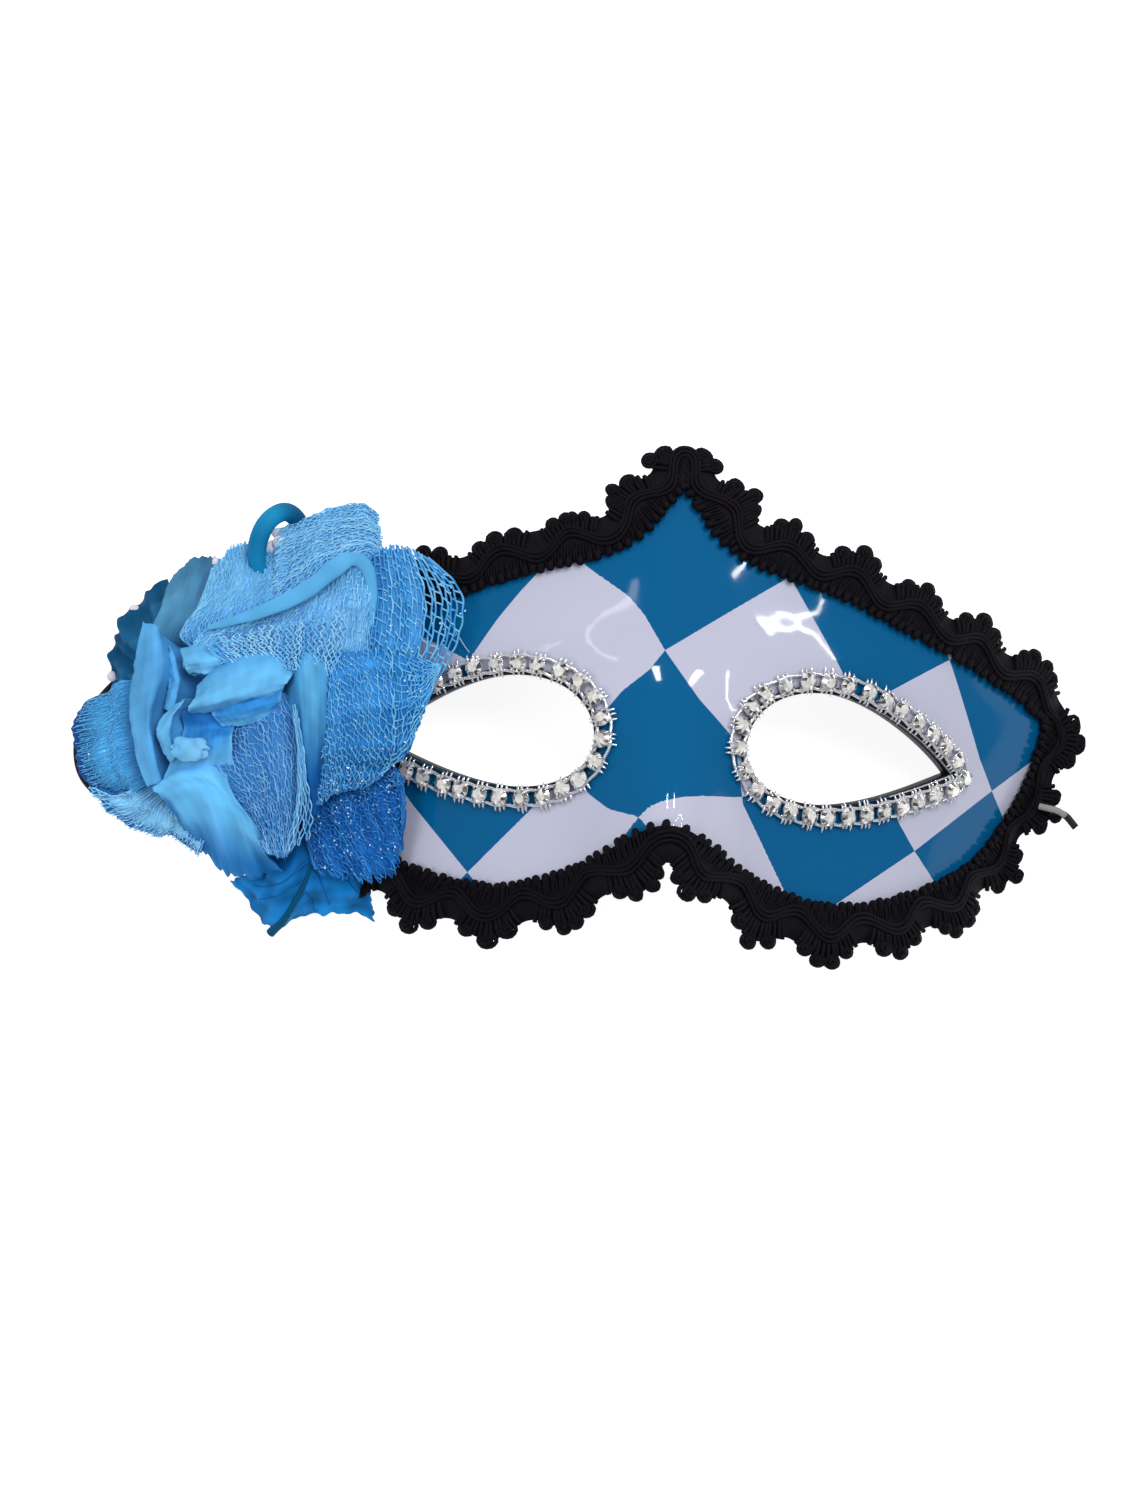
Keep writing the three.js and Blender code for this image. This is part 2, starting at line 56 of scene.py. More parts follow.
CAMERA = dict(place=(-46.84, -94.08, 918.84), aim=(-21.85, 0.33, 25), roll=3.348, focal=3780)

# The curved face of the shell
WALL = 1.6
GLUE_GAP = 0.55
TEMPLE_HALF_WIDTH = 96
TEMPLE_TOP = 19
TEMPLE_LENGTH = 45
CHEEK_TAPER = 13
EDGE_HEIGHT = 0.4
FACE_RISE = 48
NOSE = dict(height=17, width=16, top=26, length=50)
FOREHEAD = dict(start=30, fall=0.004)
BROW = dict(height=2, y=24, thickness=9, start=8, full=30, fade=60, end=85)

# The right half of the shell's edge, from the peak of the brow round to the nose notch
EDGE = [
    (0, 68.5), (7.5, 60.5), (13.5, 52.5), (23, 48), (36, 45), (49, 40.5), (62, 35.5),
    (76, 30.5), (88, 25.5), (96, 19), (94.5, 7), (90, -4), (84, -15), (76, -25.5),
    (64, -33), (51, -38), (38, -40), (27, -38), (17, -34.5), (8, -29), (0, -25.5),
]

# A teardrop eye hole, pointed at its outer corner
EYE = dict(x=43.3, y=0.3, half_width=25.8, above=18.7, below=14.5)
EYE_POINT = dict(above=0.8, below=1.1)
EYE_LIP = 3.5
EYE_SPREAD = 1.6

# Harlequin print: lines that lean left and lines that lean right, top to bottom, as (x, y)
FALLING_LINES = {
    -2: [(-75, 6), (-59, -15), (-45, -31), (-34, -44)],
    -1: [(-84, 37), (-48, 18.5), (-18.4, -12.1), (-13.5, -16), (-7, -17.7), (5, -32)],
    0: [(-45, 64), (-21.6, 41.5), (-11.4, 34.8), (-7.5, 30.5), (-2.4, 22.5), (6.2, 11), (14.9, 2.3),
        (17.5, -12.6), (29.5, -33), (36, -44)],
    1: [(14, 64), (26.2, 42.2), (39.8, 20.8), (56.4, -12.4), (61.1, -18.6), (68.2, -26.6), (82, -44)],
    2: [(52, 64), (66.8, 27.3), (76.6, 5.2), (80.7, -1.8), (83.2, -5.5), (108, -44)],
}
RISING_LINES = {
    -1: [(-14, 56), (-31.5, 41.3), (-36.8, 35), (-41.5, 28.6), (-47.7, 18.7), (-70, -4), (-108, -44)],
    0: [(58, 64), (26.2, 42.2), (-2.4, 22.5), (-5.9, 17.5), (-11.9, 12.2), (-17.7, 4.4), (-31.4, -16.3),
        (-45.3, -31.3), (-57, -44)],
    1: [(122, 64), (66.8, 27.3), (51.3, 17.3), (17.2, -11), (6.9, -12), (-1.3, -13.6), (-4.8, -15.4),
        (-7, -17.7), (-10.7, -23.2), (-22, -44)],
    2: [(160, 64), (87, 3.4), (80.7, -1.8), (61.1, -18.6), (41.9, -33.1), (28, -44)],
}

# Gimp braid: a toothed foot on the face, wavy cords and fans of wound loops
REPEATS = 29
BRAID = dict(foot=6.2, valley=3, fan=6)
PEAK_GATHER = dict(share=0.75, length=4.5)
FAN_SPREAD = (0.82, 1.1)
FAN_SIZES = {7: 1.1, 8: 1.45, 9: 1.25, 26: 0.5, 27: 0.58, 28: 0.9}
VALLEY_FILL = (0, 0.34)
# Lobes that square the top of the peak, as the place along the edge, the place past it and the radius
PEAK_LOBES = [(-6.2, 4.6, 1.9), (-3.4, 3.2, 2.0), (3.0, 2.7, 2.0), (6.0, 3.5, 1.8)]
RIBS = 232
TAPE = dict(inner=5.6, share=0.78, low=0.25, crown=1.15, steps=24, columns=10)
TOOTH = dict(past=0.5, ragged=0.3, end=4.3, low=0.6, rise=0.5, slant=0.4, radius=0.98)
TOOTH_RUN = np.array([0, 0.04, 0.14, 0.32, 0.65, 1.0])
TOOTH_SHAPE = np.array([0.1, 0.55, 0.85, 1.0, 0.95, 0.75])
FOOT_THREAD = dict(per_rib=3, start=5.3, length=4.6, low=1.1, rise=0.35, slant=0.7, radius=0.3)
CORD = dict(middle=-0.9, wave=2.2, radius=0.52, steps=26)
# The cords side by side, as the place beside the middle one and the height
CORDS = [(-1.0, 1.75), (0.0, 1.95), (1.0, 1.8)]
FAN_THREADS = 13
FAN_THREAD_RADIUS = 0.6
FAN_HALF = 6.0
# Lobes round a fan: their radii by how many there are, and the rings of thread in each one, as the
# share of its radius and the height
LOBE_SIZES = {3: (1.75, 2.3), 4: (1.5, 1.85)}
LOBE_RINGS = [(0.78, 0), (0.42, 0.45), (0.1, 0.6)]
LOBE_THREAD_RADIUS = 0.56

# Rhinestone bands
BAND = dict(setback=2.9, stones=29, line_steps=60, steps=240)
BAND_EDGE = dict(near=1.1, far=2.8, lift=0.12)
RAIL = dict(aside=1.75, wave=0.18, lift=0.55, radius=0.42)
# Cups and prongs, as radii and heights, and the radius along a prong
CUP = [(1.2, 0.1), (1.75, 0.5), (2.0, 1.2), (2.12, 1.62), (1.95, 1.7)]
CUP_SIDES = 12
PRONG = [(2.05, 0.4), (2.25, 1.3), (2.1, 2.0), (1.6, 2.35)]
PRONG_TAPER = np.array([0.36, 0.34, 0.28, 0.12])
SPIKE_SPREAD = (-1.15, 0.0, 1.15)
SPIKE_REACH = (2.8, 3.5)
# Painted reflections of the cut stones: light and dark tones for the facets and how often each comes, bright
# painted glints on the tables, and the warm tint of them all
FACET_REFLECTION_TONES = [0.06, 0.2, 0.45, 0.8, 1.0]
FACET_REFLECTION_SHARES = [0.16, 0.2, 0.24, 0.2, 0.2]
TABLE_GLINT_TONES = (0.62, 1.0)
REFLECTION_TINT = np.array([1.0, 0.98, 0.95])
STONE = dict(table=1.2, table_height=2.6, radius=2.1, girdle=1.75, belt=1.45, culet=1.3, foot=0.5)

# Rose: a leaning core seated on the temple, with a bud on top
ROSE = dict(x=-84, y=9, seat=0.4)
BUD = dict(x=-108.5, y=0, z=39)
CORE = dict(radius=8, collar=4, neck_radius=3.4, neck=25)
PETAL_GAP = 0.45
CLOTH = 1
PETAL_ROOT_HALF = 3

# Each petal leaves the core at a height along it, then passes through rows of places. A place
# is a pixel of the photograph and a height in millimetres over the surface that the mask lies on.
Petal = namedtuple("Petal", "name slot root rows")
PETALS = [
    Petal("leaf_low", "teal", 2, [
        [(266, 848, 19), (284, 848, 19), (304, 842, 20), (318, 838, 21), (336, 840, 21), (364, 852, 20)],
        [(252, 870, 14), (272, 887, 15), (290, 890, 16), (313, 887, 17), (341, 884, 18), (370, 887, 17)],
        [(234, 880, 9), (252, 909, 9), (272, 928, 9), (307, 915, 11), (341, 912, 13), (374, 919, 14)],
    ]),
    Petal("petal_net_frill", "net", 4, [
        [(303, 796, 27), (334, 786, 29), (361, 778, 30), (393, 764, 32)],
        [(306, 832, 24), (340, 824, 27), (376, 808, 29), (405, 791, 31)],
        [(312, 868, 21), (352, 876, 23), (392, 870, 26), (406, 823, 30)],
    ]),
    Petal("petal_net_right", "net", 3, [
        [(371, 562, 34), (374, 605, 36), (371, 645, 37), (364, 668, 37)],
        [(404, 549, 37), (414, 593, 38), (412, 639, 39), (399, 679, 39)],
        [(433, 560, 40), (462, 588, 41), (464, 628, 41), (443, 677, 40)],
    ]),
    Petal("petal_net_side", "net", 8, [
        [(324, 662, 37), (320, 705, 38), (317, 748, 37), (315, 800, 32)],
        [(373, 651, 40), (361, 708, 40), (350, 757, 38), (336, 791, 34)],
        [(442, 665, 40), (421, 720, 40), (404, 757, 38), (367, 783, 34)],
    ]),
    Petal("petal_net_top", "net", 5, [
        [(278, 611, 31), (307, 593, 32), (336, 573, 33), (364, 562, 33), (373, 576, 33)],
        [(278, 567, 27), (304, 553, 29), (330, 542, 29), (358, 536, 29), (379, 547, 28)],
        [(281, 533, 22), (298, 520, 22), (327, 512, 22), (356, 504, 22), (376, 514, 22)],
    ]),
    Petal("petal_net_back", "net", 8, [
        [(184, 642, 28), (232, 625, 31), (267, 611, 31), (295, 596, 30)],
        [(203, 605, 28), (230, 588, 29), (258, 580, 28), (289, 574, 27)],
        [(214, 572, 22), (231, 550, 22), (250, 545, 21), (278, 548, 22)],
    ]),
    Petal("petal_satin_back", "satin", 7, [
        [(160, 640, 20), (178, 651, 22), (194, 645, 23)],
        [(163, 609, 18), (188, 602, 22), (213, 600, 22)],
        [(171, 582, 14), (198, 556, 16), (226, 562, 18)],
    ]),
    Petal("petal_teal_left", "teal", 4, [
        [(148, 704, 14), (166, 662, 17), (178, 634, 18)],
        [(128, 696, 11), (144, 639, 14), (172, 611, 15)],
        [(111, 692, 5), (118, 625, 7), (167, 579, 9)],
    ]),
    Petal("petal_net_left", "net", 7, [
        [(137, 680, 20), (135, 720, 20), (141, 757, 20), (151, 784, 20)],
        [(112, 692, 14), (106, 728, 15), (112, 766, 15), (126, 793, 14)],
        [(89, 701, 6), (73, 728, 6), (82, 773, 6), (103, 801, 6)],
    ]),
    Petal("petal_chiffon_low", "net", 5, [
        [(146, 783, 18), (166, 794, 19), (189, 800, 19), (212, 811, 18)],
        [(117, 794, 16), (143, 811, 17), (172, 826, 17), (206, 840, 16)],
        [(90, 786, 9), (122, 824, 11), (163, 833, 11), (200, 852, 10)],
    ]),
    Petal("petal_satin_top", "satin", 13, [
        [(189, 672, 30), (232, 664, 32), (278, 668, 33), (318, 672, 35), (364, 668, 35)],
        [(192, 646, 33), (238, 634, 36), (287, 625, 37), (333, 611, 38), (374, 619, 37)],
        [(204, 630, 35), (255, 613, 39), (304, 591, 41), (343, 562, 41), (369, 572, 39)],
    ]),
    Petal("petal_satin_left", "satin", 14, [
        [(168, 640, 26), (180, 668, 27), (165, 717, 28), (168, 748, 28), (171, 779, 26)],
        [(157, 626, 30), (157, 668, 32), (147, 714, 33), (151, 754, 32), (160, 782, 29)],
        [(144, 623, 28), (134, 665, 27), (130, 708, 27), (137, 751, 26), (149, 786, 26)],
    ]),
    Petal("petal_satin_low", "satin", 12, [
        [(162, 782, 27), (183, 768, 31), (212, 764, 34), (228, 774, 34)],
        [(160, 795, 27), (190, 784, 33), (222, 792, 36), (255, 826, 34)],
        [(175, 817, 22), (205, 814, 28), (236, 828, 31), (266, 852, 27)],
        [(191, 843, 13), (218, 864, 13), (248, 878, 15), (286, 870, 18)],
    ]),
    Petal("petal_net_low", "net", 14.5, [
        [(206, 757, 33), (232, 731, 33), (275, 696, 34), (303, 712, 34)],
        [(236, 800, 33), (255, 791, 34), (280, 777, 35), (306, 766, 35)],
        [(262, 846, 29), (274, 854, 29), (286, 854, 29), (296, 842, 30)],
    ]),
    Petal("petal_satin_right", "satin", 19, [
        [(292, 655, 36), (296, 697, 38), (300, 734, 38), (303, 777, 36), (308, 816, 31)],
        [(301, 652, 39), (304, 697, 40.5), (307, 734, 40.5), (309, 777, 38), (312, 816, 32)],
        [(315, 652, 40), (317, 693, 41.5), (317, 731, 41.5), (316, 773, 38.5), (316, 813, 32)],
        [(328, 655, 39), (327, 693, 40.5), (325, 731, 40), (321, 771, 37), (319, 809, 31)],
    ]),
    Petal("petal_inner_top", "satin", 23, [
        [(203, 684, 34), (219, 668, 36), (247, 655, 37), (272, 653, 37), (296, 664, 36)],
        [(195, 697, 37), (213, 686, 39), (244, 672, 40), (270, 666, 40), (293, 674, 38)],
        [(188, 709, 38), (206, 704, 40), (236, 695, 41), (262, 688, 40), (284, 684, 38)],
        [(193, 715, 34), (212, 712, 36), (242, 703, 37), (266, 696, 37), (283, 690, 36)],
    ]),
    Petal("petal_inner_left", "satin", 23, [
        [(191, 699, 33), (180, 715, 33), (177, 735, 33), (182, 750, 33)],
        [(182, 702, 36), (170, 720, 37), (168, 738, 37), (176, 756, 36)],
        [(173, 706, 33), (161, 722, 33), (159, 740, 33), (170, 764, 33)],
    ]),
    Petal("petal_inner_low", "satin", 22, [
        [(184, 710, 34), (210, 710, 34), (240, 714, 35)],
        [(184, 728, 33), (208, 728, 33), (234, 729, 34)],
        [(177, 747, 35), (205, 745, 37), (232, 739, 37)],
        [(162, 782, 30), (198, 774, 33), (232, 772, 33)],
    ]),
]

# Smaller folds of the same cloth, each sewn in with a petal
FOLDS = {
    "petal_inner_top": [
        [(184, 650, 31), (208, 646, 33), (238, 649, 33), (262, 656, 33)],
        [(184, 663, 34), (207, 659, 37), (236, 659, 37), (262, 663, 36)],
        [(188, 673, 33), (210, 673, 35), (236, 671, 35), (258, 671, 34)],
    ],
    "petal_satin_left": [
        [(176, 648, 26), (187, 680, 28), (178, 712, 29)],
        [(170, 650, 29), (178, 682, 31), (171, 712, 32)],
        [(165, 655, 27), (170, 684, 29), (163, 708, 30)],
    ],
    "petal_inner_low": [
        [(216, 704, 35), (248, 696, 36), (282, 688, 36)],
        [(212, 714, 36), (247, 710, 38), (281, 700, 37)],
        [(222, 727, 34), (249, 724, 35), (277, 712, 34)],
    ],
}

# Round elastic strap, laid on the surface under the mask, and its cut end at the right temple
STRAP_RADIUS = 0.9
STRAP_HEIGHT = 1
STRAP_ROUTE = [
    (88.2, 4), (80, 9), (68, 17), (52, 24), (34, 28), (14, 30), (-8, 31), (-30, 31), (-50, 32),
    (-68, 33), (-86, 34), (-104, 31), (-120, 24), (-132, 14), (-139.5, 4), (-141.5, -5), (-138, -13),
    (-127, -19), (-112, -22.5), (-96, -26), (-84, -31.5), (-73, -33), (-64, -29), (-60, -20),
    (-64, -11), (-73, -5), (-85.6, -2),
]
STRAP_END = [(96.5, -5), (100, -5.6), (103, -8.6)]
STRAP_KNOT = [(93.5, -4.1, 3), (95.5, -4.5, 3.6), (98, -4.9, 3), (100.4, -5.8, 1)]

# The mask's own frame lies under the middle of its shell, and the row frame under its whole box
shell_low, shell_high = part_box("mask_shell")
SHIFT = np.array([(shell_low[0] + shell_high[0]) / 2, shell_high[1] - EDGE[0][1] * MM, 0])


def row_frame(points):
    """Points in metres in the row frame."""
    return np.asarray(points, float) * MM + SHIFT


def eased(value, start, end):
    share = np.clip((value - start) / (end - start), 0, 1)
    return share * share * (3 - 2 * share)


def unit(vectors):
    return vectors / np.maximum(np.linalg.norm(vectors, axis=-1, keepdims=True), 1e-9)


def camera_axes():
    """The camera's place, and its right, up and back directions, in the mask's frame."""
    place = np.array(CAMERA["place"])
    back = unit(place - np.array(CAMERA["aim"]))
    right = unit(np.cross([0, 1, 0], back))
    up = np.cross(back, right)
    roll = math.radians(CAMERA["roll"])
    cos, sin = math.cos(roll), math.sin(roll)
    return place, cos * right + sin * up, cos * up - sin * right, back


def seen(spots):
    """Where the photograph shows pixels (px, py), each at its height z."""
    spots = np.asarray(spots, float)
    place, right, up, back = camera_axes()
    aside = (spots[..., :1] - PICTURE[0] / 2) / CAMERA["focal"]
    above = (PICTURE[1] / 2 - spots[..., 1:2]) / CAMERA["focal"]
    ray = aside * right + above * up - back
    return place + ray * (spots[..., 2:] - place[2]) / ray[..., 2:]


def face_height(x, y):
    """Height of the shell's front face over the surface that the mask lies on."""
    across = np.abs(x)
    half = TEMPLE_HALF_WIDTH - CHEEK_TAPER * eased(y, TEMPLE_TOP, TEMPLE_TOP - TEMPLE_LENGTH)
    side = EDGE_HEIGHT + FACE_RISE * (1 - (across / half) ** 2)
    ridge = np.exp(-((across / NOSE["width"]) ** 2))
    nose = NOSE["height"] * eased(y, NOSE["top"], NOSE["top"] - NOSE["length"]) * ridge
    forehead = -FOREHEAD["fall"] * np.maximum(0, y - FOREHEAD["start"]) ** 2
    band = np.exp(-(((y - BROW["y"]) / BROW["thickness"]) ** 2))
    span = eased(across, BROW["start"], BROW["full"]) * eased(across, BROW["end"], BROW["fade"])
    return side + nose + forehead + BROW["height"] * band * span


def face_normal(x, y, step=0.05):
    slope_x = (face_height(x + step, y) - face_height(x - step, y)) / (2 * step)
    slope_y = (face_height(x, y + step) - face_height(x, y - step)) / (2 * step)
    return unit(np.stack([-slope_x, -slope_y, np.ones_like(slope_x)], -1))


def on_face(x, y, lift=0):
    """Points that lie lift millimetres over the front face."""
    x, y, lift = np.broadcast_arrays(np.asarray(x, float), np.asarray(y, float), np.asarray(lift, float))
    return np.stack([x, y, face_height(x, y)], -1) + face_normal(x, y) * lift[..., None]


def between(a, b, c, d, t):
    """Places on a smooth line from b to c, where a comes before them and d after."""
    bend = (2 * a - 5 * b + 4 * c - d) * t ** 2 + (3 * b - a - 3 * c + d) * t ** 3
    return b + 0.5 * ((c - a) * t + bend)


class Line:
    """A smooth line through points, read by the share of its length."""

    def __init__(self, points, closed, fine=24):
        points = np.asarray(points, float)
        if closed:
            around = np.concatenate([points[-1:], points, points[:2]])
        else:
            first = 2 * points[0] - points[1]
            last = 2 * points[-1] - points[-2]
            around = np.concatenate([[first], points, [last]])
        t = np.arange(fine)[:, None] / fine
        runs = []
        for a, b, c, d in zip(around, around[1:], around[2:], around[3:]):
            runs.append(between(a, b, c, d, t))
        runs.append(around[-2][None])
        self.points = np.concatenate(runs)
        steps = np.linalg.norm(np.diff(self.points, axis=0), axis=1)
        self.distance = np.concatenate([[0], np.cumsum(steps)])
        self.length = self.distance[-1]
        self.closed = closed

    def at(self, share):
        share = np.asarray(share, float)
        share = share % 1 if self.closed else np.clip(share, 0, 1)
        place = share * self.length
        columns = [np.interp(place, self.distance, column) for column in self.points.T]
        return np.stack(columns, -1)

    def along(self, share, step=0.001):
        return unit(self.at(np.asarray(share) + step) - self.at(np.asarray(share) - step))


def edge_line():
    left = [(-x, y) for x, y in EDGE[-2:0:-1]]
    return Line(EDGE + left, closed=True)


def eye_edge(angle):
    """The right eye hole's edge, with angle 0 at its outer corner."""
    above = np.sin(angle) > 0
    height = np.where(above, EYE["above"], EYE["below"])
    point = np.abs(np.sin(angle / 2)) ** np.where(above, EYE_POINT["above"], EYE_POINT["below"])
    x = EYE["x"] + EYE["half_width"] * np.cos(angle)
    return np.stack([x, EYE["y"] + height * np.sin(angle) * point], -1)


def grid_faces(rows, columns, wrap=False):
    """Quads of a grid of points; wrap joins the last column to the first."""
    i = np.arange(rows - 1)[:, None]
    j = np.arange(columns if wrap else columns - 1)[None]
    k = (j + 1) % columns
    quads = [i * columns + j, i * columns + k, (i + 1) * columns + k, (i + 1) * columns + j]
    return np.stack(np.broadcast_arrays(*quads), -1).reshape(-1, 4)


def joined(parts):
    """Several (points, faces, tint) as one."""
    points, faces, tints, base = [], [], [], 0
    for p, f, t in parts:
        p = np.asarray(p).reshape(-1, 3)
        points.append(p)
        faces.append(np.asarray(f) + base)
        tints.append(np.broadcast_to(t, (len(p), 3)))
        base += len(p)
    return np.concatenate(points), np.concatenate(faces), np.concatenate(tints)


def tubes(paths, radius, sides=5, flatness=1.0):
    """Joined tubes along paths: an array of (tubes, points, 3), with a radius for each point."""
    paths = np.asarray(paths, float)
    count, steps, _ = paths.shape
    tangent = unit(np.gradient(paths, axis=1))
    steep = np.abs(tangent[..., 2:]) > 0.9
    side = unit(np.cross(tangent, np.where(steep, [1.0, 0, 0], [0, 0, 1.0])))
    rise = np.cross(side, tangent)
    angle = np.arange(sides) * TURN / sides
    wide = np.broadcast_to(np.asarray(radius, float), (count, steps))[..., None, None]
    across = np.cos(angle)[:, None] * side[:, :, None]
    up = flatness * np.sin(angle)[:, None] * rise[:, :, None]
    points = paths[:, :, None] + wide * (across + up)
    faces = grid_faces(steps, sides, wrap=True)
    base = np.arange(count)[:, None, None] * steps * sides
    return points.reshape(-1, 3), (faces + base).reshape(-1, 4)


def per_tube(tints, steps, sides=5):
    """A tint for each tube as a tint for each of its points."""
    return np.repeat(tints, steps * sides, axis=0)


def linear(code):
    """A colour given as six hexadecimal digits, in linear light."""
    values = np.array([int(code[i:i + 2], 16) for i in (0, 2, 4)]) / 255
    return np.where(values <= 0.04045, values / 12.92, ((values + 0.055) / 1.055) ** 2.4)


def wobble(t, rng, waves=5, base=1.0):
    """A smooth irregular line between about -1 and 1."""
    t = np.asarray(t, float)
    total = np.zeros_like(t)
    for k in range(1, waves + 1):
        total = total + np.sin(base * k * t + rng.uniform(0, TURN)) / math.sqrt(waves)
    return total


def linked(name, data):
    """A new object in the scene."""
    made = bpy.data.objects.new(name, data)
    bpy.context.scene.collection.objects.link(made)
    return made


def piece(name, shape, materials, replaces=(), smooth=True, face_material=None):
    """A new piece in the row frame that rides on the part."""
    points, faces, tint = shape
    mesh = bpy.data.meshes.new(name)
    mesh.from_pydata(row_frame(points).tolist(), [], np.asarray(faces).tolist())
    colours = mesh.color_attributes.new("tint", "FLOAT_COLOR", "POINT")
    rgba = np.ones((len(points), 4), np.float32)
    rgba[:, :3] = tint
    colours.data.foreach_set("color", rgba.ravel())
    mesh.polygons.foreach_set("use_smooth", np.full(len(mesh.polygons), smooth))
    for material in materials:
        mesh.materials.append(material)
    if face_material is not None:
        mesh.polygons.foreach_set("material_index", np.asarray(face_material, np.int32))
    mesh.update()
    made = linked(name, mesh)
    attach(made, "root")
    if replaces:
        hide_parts(*replaces)
    return made


# Materials

def principled(name, colour, roughness, **sockets):
    material = bpy.data.materials.new(name)
    material.use_nodes = True
    shader = material.node_tree.nodes["Principled BSDF"]
    shader.inputs["Base Color"].default_value = (*colour, 1)
    shader.inputs["Roughness"].default_value = roughness
    for socket, value in sockets.items():
        shader.inputs[socket.replace("_", " ")].default_value = value
    return material


def tinted(material):
    """Takes the colour from the piece's own tint."""
    nodes = material.node_tree.nodes
    tint = nodes.new("ShaderNodeVertexColor")
    tint.layer_name = "tint"
    material.node_tree.links.new(tint.outputs["Color"], nodes["Principled BSDF"].inputs["Base Color"])
    return material


def roughened(material, scale, depth, detail=2.0):
    """Adds a fine relief from noise in the object's own space."""
    nodes = material.node_tree.nodes
    links = material.node_tree.links
    place = nodes.new("ShaderNodeTexCoord")
    noise = nodes.new("ShaderNodeTexNoise")
    noise.inputs["Scale"].default_value = scale
    noise.inputs["Detail"].default_value = detail
    bump = nodes.new("ShaderNodeBump")
    bump.inputs["Strength"].default_value = 1
    bump.inputs["Distance"].default_value = depth * MM
    links.new(place.outputs["Object"], noise.inputs["Vector"])
    links.new(noise.outputs["Fac"], bump.inputs["Height"])
    links.new(bump.outputs["Normal"], nodes["Principled BSDF"].inputs["Normal"])
    return material


def harlequin():
    """Glossy printed film: two colours by the parity of the lines crossed."""
    material = principled("harlequin_print", (1, 1, 1), 0.4, Specular_IOR_Level=0.0, Coat_Weight=0.35,
                          Coat_Roughness=0.06)
    nodes = material.node_tree.nodes
    links = material.node_tree.links
    lines = nodes.new("ShaderNodeUVMap")
    lines.uv_map = "harlequin"
    checker = nodes.new("ShaderNodeTexChecker")
    checker.inputs["Color1"].default_value = (*linear("025889"), 1)
    checker.inputs["Color2"].default_value = (*linear("b8b9cd"), 1)
    checker.inputs["Scale"].default_value = 1
    links.new(lines.outputs["UV"], checker.inputs["Vector"])
    links.new(checker.outputs["Color"], nodes["Principled BSDF"].inputs["Base Color"])
    return roughened(material, 70, 0.03, 1.0)


PRINT = harlequin()
BACKING = principled("black_backing", (0.008, 0.008, 0.009), 0.5, Specular_IOR_Level=0.2)
THREAD = principled("black_thread", (0.0046, 0.0036, 0.0058), 0.6, Specular_IOR_Level=0.07)
THREAD = roughened(THREAD, 2600, 0.2)
SILVER = principled("silver_setting", (0.8, 0.81, 0.84), 0.2, Metallic=0.75)
CRYSTAL = tinted(principled("cut_crystal", (0.9, 0.9, 0.9), 0.05, Metallic=0.35, Coat_Weight=1.0))
SATIN = roughened(tinted(principled("satin", (1, 1, 1), 0.6, Specular_IOR_Level=0.08)), 1500, 0.1)
NET = tinted(principled("net", (1, 1, 1), 0.5, Specular_IOR_Level=0.1))
FLAKE = tinted(principled("glitter", (1, 1, 1), 0.15, Coat_Weight=1.0))
ELASTIC = roughened(principled("elastic", (0.012, 0.012, 0.013), 0.6, Specular_IOR_Level=0.2), 2500, 0.15)


# Shell

def line_index(table, x, y):
    """Between which pattern lines a point lies, as a number that is whole on each line."""
    keys = sorted(table)
    places = []
    for key in keys:
        points = np.array(table[key][::-1], float)
        places.append(np.interp(y, points[:, 1], points[:, 0]))
    places = np.stack(places, -1)
    index = np.clip((x[..., None] > places).sum(-1) - 1, 0, len(keys) - 2)
    low = np.take_along_axis(places, index[..., None], -1)[..., 0]
    high = np.take_along_axis(places, index[..., None] + 1, -1)[..., 0]
    return keys[0] + index + (x - low) / np.maximum(high - low, 1e-6)


def shell_half(side, edge_steps=260, centre_steps=90, span_steps=31):
    """One side of the shell as sections from the eye hole out, with what each span shows."""
    line = edge_line()
    rim = line.at(np.arange(edge_steps) / (2 * edge_steps))
    heights = np.linspace(EDGE[-1][1], EDGE[0][1], centre_steps, endpoint=False)
    centre = np.stack([np.zeros(centre_steps), heights], -1)
    border = np.concatenate([rim, centre])
    toward = np.arctan2(EYE_SPREAD * (border[:, 1] - EYE["y"]), border[:, 0] - EYE["x"])
    inner = eye_edge(toward)
    span = np.linalg.norm(border - inner, axis=1)
    shares = np.linspace(0, 1, span_steps)

    def place(share, lift):
        share = np.broadcast_to(share, span.shape)[:, None]
        spot = inner + (border - inner) * share
        return on_face(spot[:, 0], spot[:, 1], lift)

    columns = [place(s, 0) for s in shares]
    columns += [place(s, -WALL) for s in shares[:0:-1]]
    columns += [place(WALL / span, -WALL), place(WALL / span, -EYE_LIP), place(0, -EYE_LIP)]
    points = np.stack(columns, 1)
    points[..., 0] *= side
    points[..., 2] = np.maximum(points[..., 2], 0)
    count, size = points.shape[:2]
    faces = grid_faces(count + 1, size, wrap=True)
    faces %= count * size
    row, column = np.divmod(np.arange(len(faces)), size)
    front = column < len(shares) - 1
    rim_wall = (column == len(shares) - 1) & (row >= edge_steps - 1)
    if side < 0:
        faces = faces[:, ::-1]
    return points.reshape(-1, 3), faces[~rim_wall], front[~rim_wall]


